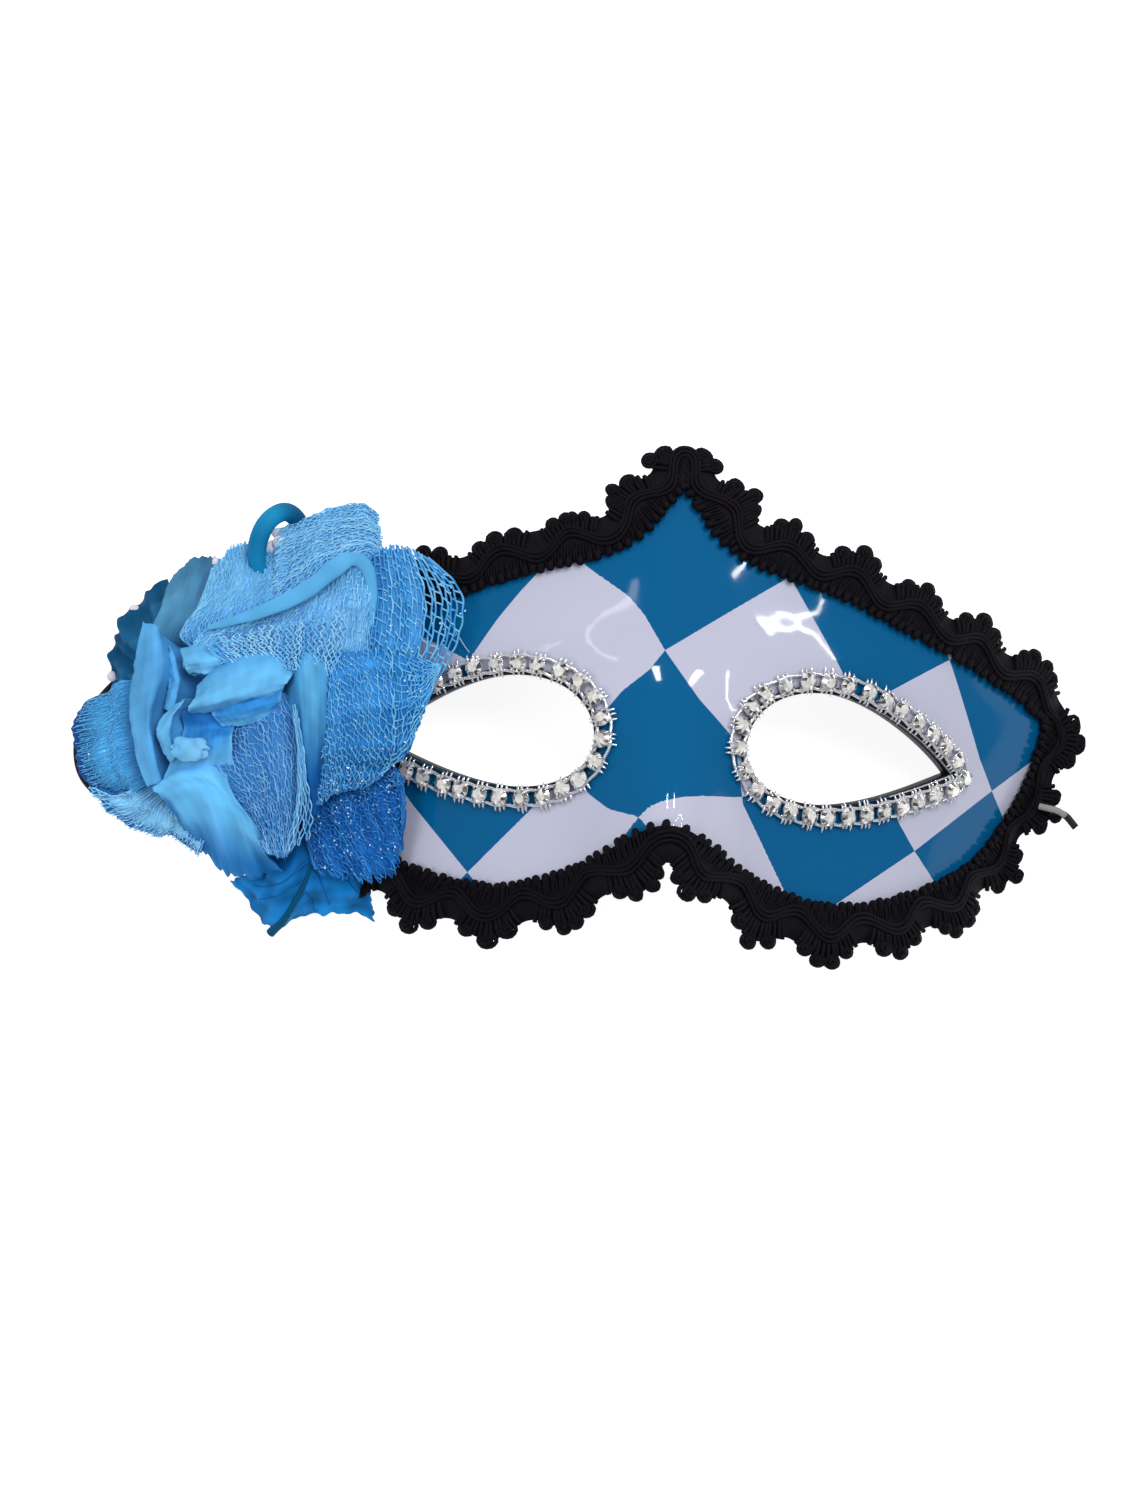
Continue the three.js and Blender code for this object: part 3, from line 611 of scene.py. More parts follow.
def build_shell():
    right, right_faces, right_front = shell_half(1)
    left, left_faces, left_front = shell_half(-1)
    points = np.concatenate([right, left])
    faces = np.concatenate([right_faces, left_faces + len(right)])
    front = np.concatenate([right_front, left_front])
    shell = piece("mask_body", (points, faces, (1, 1, 1)), [PRINT, BACKING], ["mask_shell"],
                  face_material=np.where(front, 0, 1))
    mesh = shell.data
    uv = mesh.uv_layers.new(name="harlequin")
    corner = np.empty(len(mesh.loops), np.int32)
    mesh.loops.foreach_get("vertex_index", corner)
    x, y = points[corner, 0], points[corner, 1]
    pattern = np.stack([line_index(FALLING_LINES, x, y), line_index(RISING_LINES, x, y)], -1)
    uv.data.foreach_set("uv", pattern.astype(np.float32).ravel())
    solid = bmesh.new()
    solid.from_mesh(mesh)
    bmesh.ops.remove_doubles(solid, verts=solid.verts, dist=1e-6)
    bmesh.ops.recalc_face_normals(solid, faces=solid.faces)
    solid.to_mesh(mesh)
    solid.free()


# Gimp braid

class BraidFrame:
    """Places on the braid by share of the way round, offset past the edge and lift."""

    def __init__(self):
        self.line = edge_line()
        rng = np.random.default_rng(5)
        self.fans = rng.uniform(*FAN_SPREAD, REPEATS)
        for index, size in FAN_SIZES.items():
            self.fans[index] = size
        self.fills = rng.uniform(*VALLEY_FILL, REPEATS)

    def reach(self, share):
        """How far the braid reaches past the edge."""
        share = np.asarray(share, float)
        size = self.fans[np.round(share * REPEATS).astype(int) % REPEATS]
        fill = self.fills[np.floor(share * REPEATS).astype(int) % REPEATS]
        wave = np.cos(math.pi * REPEATS * share) ** 2
        fan = BRAID["fan"] * (size * wave + fill * (1 - wave))
        near = np.minimum(share % 1, 1 - share % 1) * self.line.length
        gather = 1 - PEAK_GATHER["share"] * np.exp(-((near / PEAK_GATHER["length"]) ** 2))
        return (BRAID["valley"] + fan) * gather

    def place(self, share, offset, lift):
        share, offset, lift = np.broadcast_arrays(share, offset, lift)
        p = self.line.at(share)
        t = self.line.along(share)
        out = np.stack([-t[..., 1], t[..., 0]], -1)
        normal = face_normal(p[..., 0], p[..., 1])
        lean = (normal[..., :2] * out).sum(-1)
        short = np.sqrt(np.maximum(1 - lean * lean, 0.04))
        far = np.where(offset > 0, offset * short ** 0.8, offset * short)
        q = p + far[..., None] * out
        spot = on_face(q[..., 0], q[..., 1], GLUE_GAP)
        spot[..., 2] = np.maximum(spot[..., 2], 0)
        return spot + normal * lift[..., None]


def braid_tape(braid):
    """The dense woven body, under everything else."""
    steps = REPEATS * TAPE["steps"]
    share = np.arange(steps + 1)[:, None] / steps
    across = np.linspace(0, 1, TAPE["columns"])[None]
    reach = braid.reach(share) * TAPE["share"]
    offset = -TAPE["inner"] + across * (reach + TAPE["inner"])
    lift = TAPE["low"] + TAPE["crown"] * np.sin(np.pi * np.clip(across, 0.04, 0.96)) ** 0.6
    return braid.place(share, offset, lift), grid_faces(steps + 1, TAPE["columns"]), 0


def braid_teeth(braid, rng):
    """Short rounded teeth along the inner edge of the foot."""
    share = (np.arange(RIBS) + rng.uniform(-0.15, 0.15, RIBS)) / RIBS
    start = -BRAID["foot"] - TOOTH["past"] + rng.uniform(-TOOTH["ragged"], TOOTH["ragged"], RIBS)
    offset = start[:, None] + TOOTH_RUN * (-TOOTH["end"] - start)[:, None]
    rise = TOOTH["rise"] * np.sin(np.pi * (0.1 + 0.7 * TOOTH_RUN))
    lift = TOOTH["low"] + rise + rng.uniform(-0.08, 0.08, (RIBS, 1))
    slant = share[:, None] + TOOTH_RUN * TOOTH["slant"] / braid.line.length
    p, f = tubes(braid.place(slant, offset, lift), TOOTH["radius"] * TOOTH_SHAPE, 6)
    return p, f, 0


def braid_threads(braid, rng):
    """Fine threads that cross the foot."""
    form = FOOT_THREAD
    count = RIBS * form["per_rib"]
    share = (np.arange(count) + rng.uniform(-0.3, 0.3, count)) / count
    run = np.linspace(0, 1, 5)[None]
    offset = -form["start"] + run * (form["length"] + rng.uniform(-0.3, 0.3, (count, 1)))
    lift = form["low"] + form["rise"] * np.sin(np.pi * run) + rng.uniform(-0.08, 0.08, (count, 1))
    slant = share[:, None] + run * form["slant"] / braid.line.length
    p, f = tubes(braid.place(slant, offset, lift), form["radius"], 5)
    return p, f, 0


def braid_cords(braid, rng):
    """The wavy cords along the top."""
    steps = REPEATS * CORD["steps"]
    share = np.arange(steps + 1) / steps
    wave = np.cos(TURN * REPEATS * share) + 0.1 * wobble(share * TURN, rng, 6, 9)
    parts = []
    for apart, high in CORDS:
        cord = braid.place(share, CORD["middle"] + CORD["wave"] * wave + apart, high)
        p, f = tubes(cord[None], CORD["radius"], 6)
        parts.append((p, f, 0))
    return joined(parts)


def lobe_windings(braid, share, aside, out, radius, high):
    """Rings of wound thread, one inside the other."""
    angle = np.linspace(-math.pi, math.pi, 15)
    rings = []
    for ring, rise in LOBE_RINGS:
        along = aside + radius * ring * np.sin(angle)
        away = out + radius * ring * np.cos(angle)
        lift = high + rise + 0.1 * np.sin(5 * angle)
        rings.append(braid.place(share + along / braid.line.length, away, lift))
    return rings


def fan_threads(braid, fan, rng):
    """Threads that fill one fan, spread out from its foot."""
    length = braid.line.length
    run = np.linspace(0, 1, 6)
    threads = []
    for k in range(FAN_THREADS):
        along = k - FAN_THREADS // 2 + rng.uniform(-0.2, 0.2)
        far = braid.reach(fan + along / length) * rng.uniform(0.7, 0.82)
        base = -0.4 + 1.6 * math.cos(TURN * along * REPEATS / length)
        spread = fan + along * (0.75 + 0.4 * run) / length
        lift = 0.8 + 0.7 * np.sin(np.pi * run * 0.9)
        threads.append(braid.place(spread, base + run * (far - base), lift))
    return threads


def fan_lobes(braid, fan, rng):
    """Lobes of wound thread round the rim of one fan."""
    windings = []
    count = rng.choice([3, 4], p=[0.7, 0.3])
    for k in range(count):
        aside = (k - (count - 1) / 2) * (2.1 / count) + rng.uniform(-0.12, 0.12)
        lobe = rng.uniform(*LOBE_SIZES[count])
        along = FAN_HALF * math.sin(aside)
        out = braid.reach(fan + along / braid.line.length) - lobe * rng.uniform(0.72, 0.95)
        windings += lobe_windings(braid, fan, along, out, lobe, rng.uniform(0.75, 1.15))
    return windings


def braid_fans(braid, rng):
    """Threads and lobes of every fan, and the lobes beside the peak."""
    threads, windings = [], []
    for fan in np.arange(REPEATS) / REPEATS:
        threads += fan_threads(braid, fan, rng)
        windings += fan_lobes(braid, fan, rng)
    for aside, out, lobe in PEAK_LOBES:
        windings += lobe_windings(braid, 0, aside, out, lobe, 1)
    p, f = tubes(np.array(threads), FAN_THREAD_RADIUS, 5)
    q, g = tubes(np.array(windings), LOBE_THREAD_RADIUS, 6)
    return joined([(p, f, 0), (q, g, 0)])


def build_braid():
    rng = np.random.default_rng(7)
    braid = BraidFrame()
    parts = [braid_tape(braid), braid_teeth(braid, rng), braid_threads(braid, rng)]
    parts += [braid_cords(braid, rng), braid_fans(braid, rng)]
    points, faces, tint = joined(parts)
    points[:, 2] = np.maximum(points[:, 2], 0)
    piece("gimp_trim", (points, faces, tint), [THREAD], ["gimp_braid"])


# Rhinestone bands

def band_line(side):
    angle = np.arange(BAND["line_steps"]) * TURN / BAND["line_steps"]
    step = 0.02
    p = eye_edge(angle)
    ahead = eye_edge(angle + step) - eye_edge(angle - step)
    out = unit(np.stack([ahead[:, 1], -ahead[:, 0]], -1))
    lean = (face_normal(p[:, 0], p[:, 1])[:, :2] * out).sum(-1)
    p = p + (BAND["setback"] * np.sqrt(1 - lean * lean))[:, None] * out
    return Line(on_face(side * p[:, 0], p[:, 1]), closed=True)


def band_axes(line, share):
    p = line.at(share)
    outward = face_normal(p[..., 0], p[..., 1])
    across = unit(np.cross(outward, line.along(share)))
    along = np.cross(across, outward)
    return p + outward * GLUE_GAP, along, across, outward


def cut_stone():
    """A round stone with a table, as loose triangles."""
    eight = np.arange(8) * TURN / 8
    sixteen = np.arange(16) * TURN / 16

    def ring(angle, radius, height):
        return np.stack([radius * np.cos(angle), radius * np.sin(angle), np.full(len(angle), height)], -1)

    table = ring(eight, STONE["table"], STONE["table_height"])
    girdle = ring(sixteen, STONE["radius"], STONE["girdle"])
    belt = ring(sixteen, STONE["radius"], STONE["belt"])
    culet = ring(sixteen, STONE["culet"], STONE["foot"])
    top = np.array([0, 0, STONE["table_height"]])
    triangles = []
    for i in range(8):
        j = (i + 1) % 8
        before, here, after = girdle[2 * i - 1], girdle[2 * i], girdle[2 * i + 1]
        triangles += [(top, table[i], table[j]), (table[i], before, here)]
        triangles += [(table[i], here, after), (table[i], after, table[j])]
    for i in range(16):
        j = (i + 1) % 16
        triangles += [(girdle[i], belt[i], belt[j]), (girdle[i], belt[j], girdle[j])]
        triangles += [(belt[i], culet[i], culet[j]), (belt[i], culet[j], belt[j])]
    return np.array(triangles)


Seats = namedtuple("Seats", "place along across outward first second axis")


def stone_seats(line, rng):
    """Where each stone sits, the band's directions there, and the stone's own turned and tipped axes."""
    count = BAND["stones"]
    share = (np.arange(count) + rng.uniform(-0.05, 0.05, count)) / count
    place, along, across, outward = band_axes(line, share)
    turn = rng.uniform(0, TURN, count)
    tip = rng.uniform(-0.1, 0.1, (count, 2))
    axis = unit(outward + tip[:, :1] * along + tip[:, 1:] * across)
    first = unit(np.cos(turn)[:, None] * along + np.sin(turn)[:, None] * across)
    first = unit(first - (first * axis).sum(-1, keepdims=True) * axis)
    return Seats(place, along, across, outward, first, np.cross(axis, first), axis)


def band_stones(seats, rng):
    """All the stones, with a painted reflection tone for each facet and a bright painted glint on each
    table.
    """
    stone = cut_stone()
    count = BAND["stones"]
    local = stone[None] * rng.uniform(0.94, 1.03, count)[:, None, None, None]
    points = seats.place[:, None, None] + local[..., :1] * seats.first[:, None, None]
    points = points + local[..., 1:2] * seats.second[:, None, None]
    points = (points + local[..., 2:] * seats.axis[:, None, None]).reshape(-1, 3)
    # Painted reflections: a light or dark tone on each facet, and a bright painted glint on the eight table
    # facets
    tone = rng.choice(FACET_REFLECTION_TONES, (count, len(stone)), p=FACET_REFLECTION_SHARES)
    tone[:, 0:32:4] = rng.uniform(*TABLE_GLINT_TONES, (count, 8))
    tint = np.repeat((tone[..., None] * REFLECTION_TINT).reshape(-1, 3), 3, axis=0)
    return points, np.arange(len(points)).reshape(-1, 3), tint


def band_place(line, share, aside, high):
    """Places beside the middle of a band, over the face."""
    p, _, across, outward = band_axes(line, share)
    return p + np.asarray(aside)[..., None] * across + np.asarray(high)[..., None] * outward


def band_edge(line, side):
    """The dark edge that shows between the stones and the eye hole."""
    around = np.linspace(0, 1, BAND["steps"] + 1)[:, None]
    aside = side * np.linspace(BAND_EDGE["near"], BAND_EDGE["far"], 3)[None]
    around, aside = np.broadcast_arrays(around, aside)
    strip = band_place(line, around, aside, np.full(aside.shape, BAND_EDGE["lift"]))
    return strip.reshape(-1, 3), grid_faces(BAND["steps"] + 1, 3), 1


def band_rails(line):
    """The two wavy rails beside the cups."""
    ring = np.arange(BAND["steps"] + 1) / BAND["steps"]
    high = np.full_like(ring, RAIL["lift"])
    parts = []
    for aside in (-RAIL["aside"], RAIL["aside"]):
        wave = aside + RAIL["wave"] * np.sin(TURN * BAND["stones"] * ring)
        p, f = tubes(band_place(line, ring, wave, high)[None], RAIL["radius"], 6)
        parts.append((p, f, 1))
    return parts


def band_cups(seats):
    """A cup under each stone."""
    angle = np.arange(CUP_SIDES + 1) * TURN / CUP_SIDES
    flat = np.ones_like(angle)
    cup = np.array([np.stack([r * np.cos(angle), r * np.sin(angle), h * flat], -1) for r, h in CUP])
    parts = []
    for place, first, second, axis in zip(seats.place, seats.first, seats.second, seats.axis):
        shape = place + cup[..., :1] * first + cup[..., 1:2] * second + cup[..., 2:] * axis
        parts.append((shape, grid_faces(len(CUP), len(angle)), 1))
    return parts


def band_prongs(seats, rng):
    """Prongs over each stone, and spikes past both rails."""
    prongs = []
    for place, along, across, outward in zip(seats.place, seats.along, seats.across, seats.outward):
        for k in range(4):
            angle = TURN * (k + 0.5) / 4
            way = np.cos(angle) * along + np.sin(angle) * across
            prongs.append([place + r * way + h * outward for r, h in PRONG])
        for aside in (-1, 1):
            for shift in SPIKE_SPREAD:
                spot = place + (shift + rng.uniform(-0.2, 0.2)) * along
                far = rng.uniform(*SPIKE_REACH)
                steps = ((1.5, 0.5), (2.1, 0.75), (0.5 * (far + 2.1), 0.7), (far, 0.35))
                prongs.append([spot + aside * r * across + h * outward for r, h in steps])
    p, f = tubes(np.array(prongs), PRONG_TAPER, 6)
    return p, f, 1


def build_band(name, side, node):
    rng = np.random.default_rng(11 if side > 0 else 12)
    line = band_line(side)
    seats = stone_seats(line, rng)
    piece(name + "_stones", band_stones(seats, rng), [CRYSTAL], [node], smooth=False)
    piece(name + "_strip", band_edge(line, side), [BACKING])
    setting = band_rails(line) + band_cups(seats) + [band_prongs(seats, rng)]
    piece(name + "_setting", joined(setting), [SILVER])


# Rose

def rose_line():
    """The rose's seat on the temple, and the way it leans from there to the top of the bud."""
    seat = on_face(ROSE["x"], ROSE["y"], ROSE["seat"])
    lean = np.array([BUD["x"], BUD["y"], BUD["z"]]) - seat
    return seat, lean / np.linalg.norm(lean)


def petal_root(row, toward):
    """Where a petal leaves the core, on the side that it goes to."""
    seat, lean = rose_line()
    p = seat + lean * row.root
    away = toward - p
    away = unit(away - away.dot(lean) * lean)
    share = (row.root - CORE["collar"]) / (CORE["neck"] - CORE["collar"])
    radius = CORE["radius"] + (CORE["neck_radius"] - CORE["radius"]) * share
    return p + away * (radius + CLOTH / 2 + PETAL_GAP)


class Surface:
    """A petal's middle surface, read by u from its root to its rim and v across it."""

    STEPS = (61, 81)

    def __init__(self, row, places, rng):
        self.dye = DYES[row.name]
        self.phases = rng.uniform(0, TURN, 8)
        rows = [seen(spots) for spots in places]
        v = np.linspace(0, 1, self.STEPS[1])
        ribs = [Line(spots, closed=False).at(v) for spots in rows]
        root = petal_root(row, rows[0].mean(0))
        across = unit(ribs[0][-1] - ribs[0][0])
        first = root + across * (v[:, None] - 0.5) * 2 * PETAL_ROOT_HALF
        ribs = np.array([first] + ribs)
        u = np.linspace(0, len(ribs) - 1, self.STEPS[0])
        around = np.concatenate([[2 * ribs[0] - ribs[1]], ribs, [2 * ribs[-1] - ribs[-2]]])
        k = np.minimum(u.astype(int), len(ribs) - 2)
        t = (u - k)[:, None, None]
        self.points = between(around[k], around[k + 1], around[k + 2], around[k + 3], t)
        normal = unit(np.cross(np.gradient(self.points, axis=0), np.gradient(self.points, axis=1)))
        up = np.where(normal[..., 2].mean() < 0, -1, 1)
        self.normal = normal * up
        self.length = np.linalg.norm(np.diff(self.points, axis=0), axis=-1).sum(0).mean()
        self.width = np.linalg.norm(np.diff(self.points, axis=1), axis=-1).sum(1).max()

    def read(self, grid, u, v):
        rows, columns = self.STEPS
        i = np.clip(u, 0, 1) * (rows - 1)
        j = np.clip(v, 0, 1) * (columns - 1)
        a = np.minimum(i.astype(int), rows - 2)
        b = np.minimum(j.astype(int), columns - 2)
        s = (i - a)[..., None]
        t = (j - b)[..., None]
        near = grid[a, b] * (1 - t) + grid[a, b + 1] * t
        far = grid[a + 1, b] * (1 - t) + grid[a + 1, b + 1] * t
        return near * (1 - s) + far * s

    def fold(self, u, v):
        """Which side of its fine folds a place is on, from about -1 to 1."""
        a = self.phases
        sway = np.sin(4 * u + 3 * v + a[0]) + 0.6 * np.sin(9 * u - 5 * v + a[1])
        phase = self.dye.fold_count * v + 0.8 * sway + a[2]
        return (np.sin(phase) + 0.45 * np.sin(2.3 * phase + 3 * u + a[3])) / 1.3

    def mottle(self, u, v):
        """Irregular soft patches, from about -1 to 1."""
        a = self.phases
        broad = np.sin(17 * u + 6 * v + a[4]) * np.sin(13 * v - 5 * u + a[5])
        return broad + 0.5 * np.sin(31 * u - 23 * v + a[6]) * np.sin(19 * u + 29 * v + a[7])

    def relief(self, u, v):
        """How high the cloth stands over its middle surface."""
        return self.dye.folds * (self.fold(u, v) + 0.45 * self.mottle(u, v)) * eased(u, 0.2, 0.6)

    def fade(self, u, v):
        """How far a painted shade deepens the blue towards the last side."""
        return self.dye.fade * eased(v + 0 * u, 0.2, 0.8)

    def at(self, u, v, lift):
        """Places over the surface; past the rim it goes straight on."""
        u, v, lift = np.broadcast_arrays(np.asarray(u, float), np.asarray(v, float), np.asarray(lift, float))
        p = self.read(self.points, u, v)
        past_u = np.maximum(u - 1, 0)[..., None] * (p - self.read(self.points, u * 0 + 0.97, v)) / 0.03
        over = v - np.clip(v, 0, 1)
        back = self.read(self.points, u, np.where(over > 0, 0.97, 0.03))
        past_v = over[..., None] * (p - back) / np.where(over > 0, 0.03, -0.03)[..., None]
        return p + past_u + past_v + self.read(self.normal, u, v) * lift[..., None]


def mix(a, b, share):
    share = np.clip(np.asarray(share, float), 0, 1)[..., None]
    return a * (1 - share) + b * share


SKY = "62b0e2"
ROYAL = "3a86cc"
DEEP = "0f559f"
DARK_TEAL = "07507c"
# The deeper blue of the painted shade on the shaded side of some petals
SHADE_BLUE = linear("0f549a")

# How each petal is coloured near its root, where it is mostly darker with painted shade from the
# petals that crowd the core, at its middle and at its edge, how deep its fine folds are in millimetres
# and how many, how ragged its edge is, how far out the cloth goes, how far painted shade deepens its
# last side, and how blotchy it is, partly its own uneven tone and partly painted shade and light
Dye = namedtuple("Dye", "root middle edge folds fold_count rag reach fade blotch", defaults=(0, 0.1))
DYES = {
    "leaf_low": Dye("0a4684", "0e6aac", "1676bc", 0.8, 17, 0.015, 1, 0, 0.3),
    "petal_net_frill": Dye(DEEP, "1a5fae", "1f6cbc", 0.7, 22, 0.02, 1),
    "petal_net_right": Dye(ROYAL, "4494d4", "4494d4", 0.4, 14, 0.03, 0.74),
    "petal_net_side": Dye(ROYAL, "3490d8", "1c72bc", 0.6, 20, 0.008, 1, 0.55),
    "petal_net_top": Dye(ROYAL, "63a8dd", "6cb2e2", 0.5, 14, 0.015, 1),
    "petal_net_back": Dye(ROYAL, "78c4f2", "5cacdf", 0.4, 14, 0.012, 1),
    "petal_satin_back": Dye("3a7498", "4a86ac", "3a7498", 0.5, 7, 0.008, 1),
    "petal_teal_left": Dye(DARK_TEAL, "125c86", "064870", 1.2, 20, 0.01, 1),
    "petal_net_left": Dye(ROYAL, "58c0f4", "0a4484", 0.4, 12, 0.012, 1),
    # The chiffon's middle is paler than its cloth: painted light that lifts the shade of the petals over it
    "petal_chiffon_low": Dye(ROYAL, "9cdeff", "1a68b0", 0.8, 16, 0.015, 1),
    "petal_satin_top": Dye(ROYAL, "86caf6", SKY, 0.5, 16, 0.01, 1),
    "petal_satin_left": Dye("2f78b8", "529fd8", "4f9cd2", 0.35, 5, 0.008, 1),
    "petal_satin_low": Dye("66b8ec", "62b8ee", "1070b6", 0.7, 7, 0.012, 1),
    "petal_net_low": Dye("2a66b2", "3f84c8", "2f74bc", 0.35, 12, 0.02, 1),
    "petal_satin_right": Dye("4494cc", "58a8da", "4a9cd4", 0.25, 5, 0.008, 1, 1),
    "petal_inner_top": Dye("4a9ad4", SKY, "6cb8e6", 0.35, 6, 0.008, 1),
    "petal_inner_left": Dye("3c8cc8", "5ca7d9", SKY, 0.3, 5, 0.008, 1),
    "petal_inner_low": Dye("1c62ac", "3286ca", SKY, 0.35, 6, 0.008, 1),
}


def petal_tint(surface, u, v):
    """The colour over a petal: its root darkened with painted shade, its middle and edge, painted shade on
    its last side, and painted shade and light on its folds and blotches.
    """
    dye = surface.dye
    near_side = eased(np.abs(2 * v - 1), 0.84, 0.98) * eased(u, 0.4, 0.7)
    edge = np.maximum(eased(u, 0.68, 0.95), near_side)
    # Darker near the root: painted shade where the petals crowd the core
    tint = mix(linear(dye.root), linear(dye.middle), eased(u + 0 * v, 0.2, 0.65))
    tint = mix(tint, linear(dye.edge), edge)
    # Painted shade: a deeper blue towards the petal's last side
    tint = mix(tint, SHADE_BLUE, surface.fade(u, v))
    # Painted shade in the hollows of the fine folds and painted light on their crests; the blotches are
    # partly the cloth's own uneven tone and partly painted shade and light
    shade = 1 + 0.12 * surface.fold(u, v) + dye.blotch * surface.mottle(u, v)
    return np.clip(tint * shade[..., None], 0, 1).reshape(-1, 3)


def cloth(surface, rng, along=46, across=64, thickness=0.5):
    """A petal as a thin closed sheet with fine folds and a ragged edge, and its area."""
    dye = surface.dye
    u = np.linspace(0, dye.reach, along)[:, None]
    v = np.linspace(0, 1, across)[None]
    rag = 1 + dye.rag * wobble(v * 12, rng, 6, 1.3) * eased(u, 0.6, 1)
    aside = 2 * v - 1
    wide = 0.5 + 0.5 * aside * (1 + dye.rag * wobble(u * 14, rng, 6, 1.2) * np.abs(aside) ** 6)
    lift = surface.relief(u, v)
    sheets = [surface.at(u * rag, wide, lift + side * thickness).reshape(-1, 3) for side in (0.5, -0.5)]
    count = along * across
    faces = grid_faces(along, across)
    index = np.arange(count).reshape(along, across)
    border = np.concatenate([index[0, :-1], index[:-1, -1], index[-1, :0:-1], index[:0:-1, 0]])
    after = np.roll(border, -1)
    rim = np.stack([border, border + count, after + count, after], -1)
    closed = np.concatenate([faces, faces[:, ::-1] + count, rim])
    tint = petal_tint(surface, u, v)
    corners = sheets[0][faces]
    crossed = np.cross(corners[:, 2] - corners[:, 0], corners[:, 3] - corners[:, 1])
    area = 0.5 * np.linalg.norm(crossed, axis=1).sum()
    return (np.concatenate(sheets), closed, np.concatenate([tint, tint])), area


def rolled_rim(places, radius, tint, rng, steps=90):
    """An edge folded over itself, along places that the photograph shows."""
    share = np.linspace(0, 1, steps)
    path = Line(seen(places), closed=False).at(share)
    wide = radius * (0.2 + 0.8 * np.sin(np.pi * np.clip(share, 0.02, 0.98)) ** 0.8)
    wide = wide * (1 + 0.08 * wobble(share * 9, rng, 4, 1.3))
    p, f = tubes(path[None], wide[None], 16, 0.42)
    colour = np.repeat(tint * (1 + 0.06 * wobble(share * 11, rng, 4, 1.2))[:, None], 16, axis=0)
    return p, f, np.clip(colour, 0, 1)


# Net: strands that run from root to rim or across, with rungs between them
Net = namedtuple("Net", "run slant pitch rung wave dark light radius fray flakes")
NETS = {
    "petal_net_frill": Net("u", 0.1, 0.7, 2.0, 0.3, "145cac", "3c94dc", 0.17, 2.0, 300),
    "petal_net_right": Net("v", 0.0, 1.5, 2.8, 0.16, "3490d4", "84ccf0", 0.25, 1.0, 80),
    "petal_net_side": Net("v", 0.35, 0.62, 2.2, 0.2, "3a94d8", "86d0f4", 0.17, 1.0, 340),
    "petal_net_top": Net("v", 0.0, 0.8, 1.7, 0.22, "60aee2", "98d2f2", 0.17, 0.8, 20),
    "petal_net_back": Net("u", 0.1, 0.65, 2.4, 0.22, "5eb0e6", "94d4f4", 0.14, 0.6, 10),
    "petal_net_left": Net("u", 0.0, 0.55, 9.0, 0.1, "4ea6e2", "6cc0f0", 0.12, -4.5, 24),
    "petal_chiffon_low": Net("u", 0.1, 0.6, 9.0, 0.16, "7accfa", "b6e8ff", 0.12, 0.5, 10),
    "petal_net_low": Net("u", 0.0, 0.75, 1.8, 0.35, "3484cc", "8cc8f0", 0.14, 0.5, 20),
    "petal_satin_top": Net("u", 0.12, 0.55, 2.6, 0.2, "5ab2ee", "a6e2fd", 0.15, 0.0, 30),
}
NET_STEPS = 40
NET_START = 0.3


def net_paths(form, wide, long, rng):
    """How far along and aside each strand of a net goes, as shares, and how it strays by itself."""
    count = int(wide / form.pitch)
    base = (np.arange(count) + 0.5 + rng.uniform(-0.25, 0.25, count)) / count
    base = (base - 0.5) * (1 + form.slant) + 0.5
    run = np.linspace(0, 1, NET_STEPS)
    sign = np.where(np.arange(count) % 2 == 0, 1, -1)[:, None]
    cell = math.pi * long / form.rung
    own = np.array([wobble(run * 7, rng, 4, 1.3) for _ in base])
    sway = form.wave * (sign * np.sin(cell * run)[None] + 0.9 * own) / wide
    over = rng.uniform(0.2, 1.0, (count, 2)) * form.fray / long
    along = run[None] * (1 + over[:, :1] + over[:, 1:]) - over[:, 1:]
    if form.slant:
        low = np.clip(0.5 - base / form.slant, 0, 1)[:, None]
        high = np.clip(0.5 + (1 - base) / form.slant, 0, 1)[:, None]
        along = low + (high - low) * along
    aside = np.clip(base[:, None] + sway + form.slant * (along - 0.5), 0, 1)
    return along, aside, own


def net_rungs(form, strands, rows, rng):
    """Short threads between strands that lie side by side."""
    dark, light = linear(form.dark), linear(form.light)
    rungs, tints = [], []
    for k in range(len(strands) - 1):
        for j in range(rows):
            at = (j + 0.5 * (k % 2) + rng.uniform(0.1, 0.5)) / rows
            if at > 0.97:
                continue
            i = int(at * (NET_STEPS - 1))
            a, b = strands[k, i], strands[k + 1, i + 1]
            rungs.append([a, (a + b) / 2 + np.array([0, 0, 0.12]), b])
            tints.append(mix(dark, light, rng.uniform(0.2, 1)))
    p, f = tubes(np.array(rungs), form.radius * 0.8, 4)
    return p, f, per_tube(np.array(tints), 3, 4)


def net(name, surface, rng):
    """The strands of a net petal and the rungs between them, as one mesh."""
    form = NETS[name]
    lengthwise = form.run == "u"
    wide = surface.width if lengthwise else surface.length * (1 - NET_START)
    long = surface.length * (1 - NET_START) if lengthwise else surface.width
    along, aside, own = net_paths(form, wide, long, rng)
    if lengthwise:
        u, v = NET_START + (1 - NET_START) * np.maximum(along, 0), aside
    else:
        u, v = NET_START + (1 - NET_START) * aside, along
    count = len(own)
    lift = surface.relief(u, v) + 0.4 + rng.uniform(0, 0.4, (count, 1)) + 0.1 * own
    strands = surface.at(u, v, lift)
    tone = rng.uniform(0, 1, count)[:, None] * (0.6 + 0.4 * own)
    tint = mix(linear(form.dark), linear(form.light), tone)
    # The same painted shade on the strands towards the last side
    tint = mix(tint, SHADE_BLUE, 0.7 * surface.fade(u, v))
    p, f = tubes(strands, form.radius, 4)
    threads = p, f, np.repeat(tint.reshape(-1, 3), 4, axis=0)
    rows = max(2, int(long / form.rung))
    return joined([threads, net_rungs(form, strands, rows, rng)])


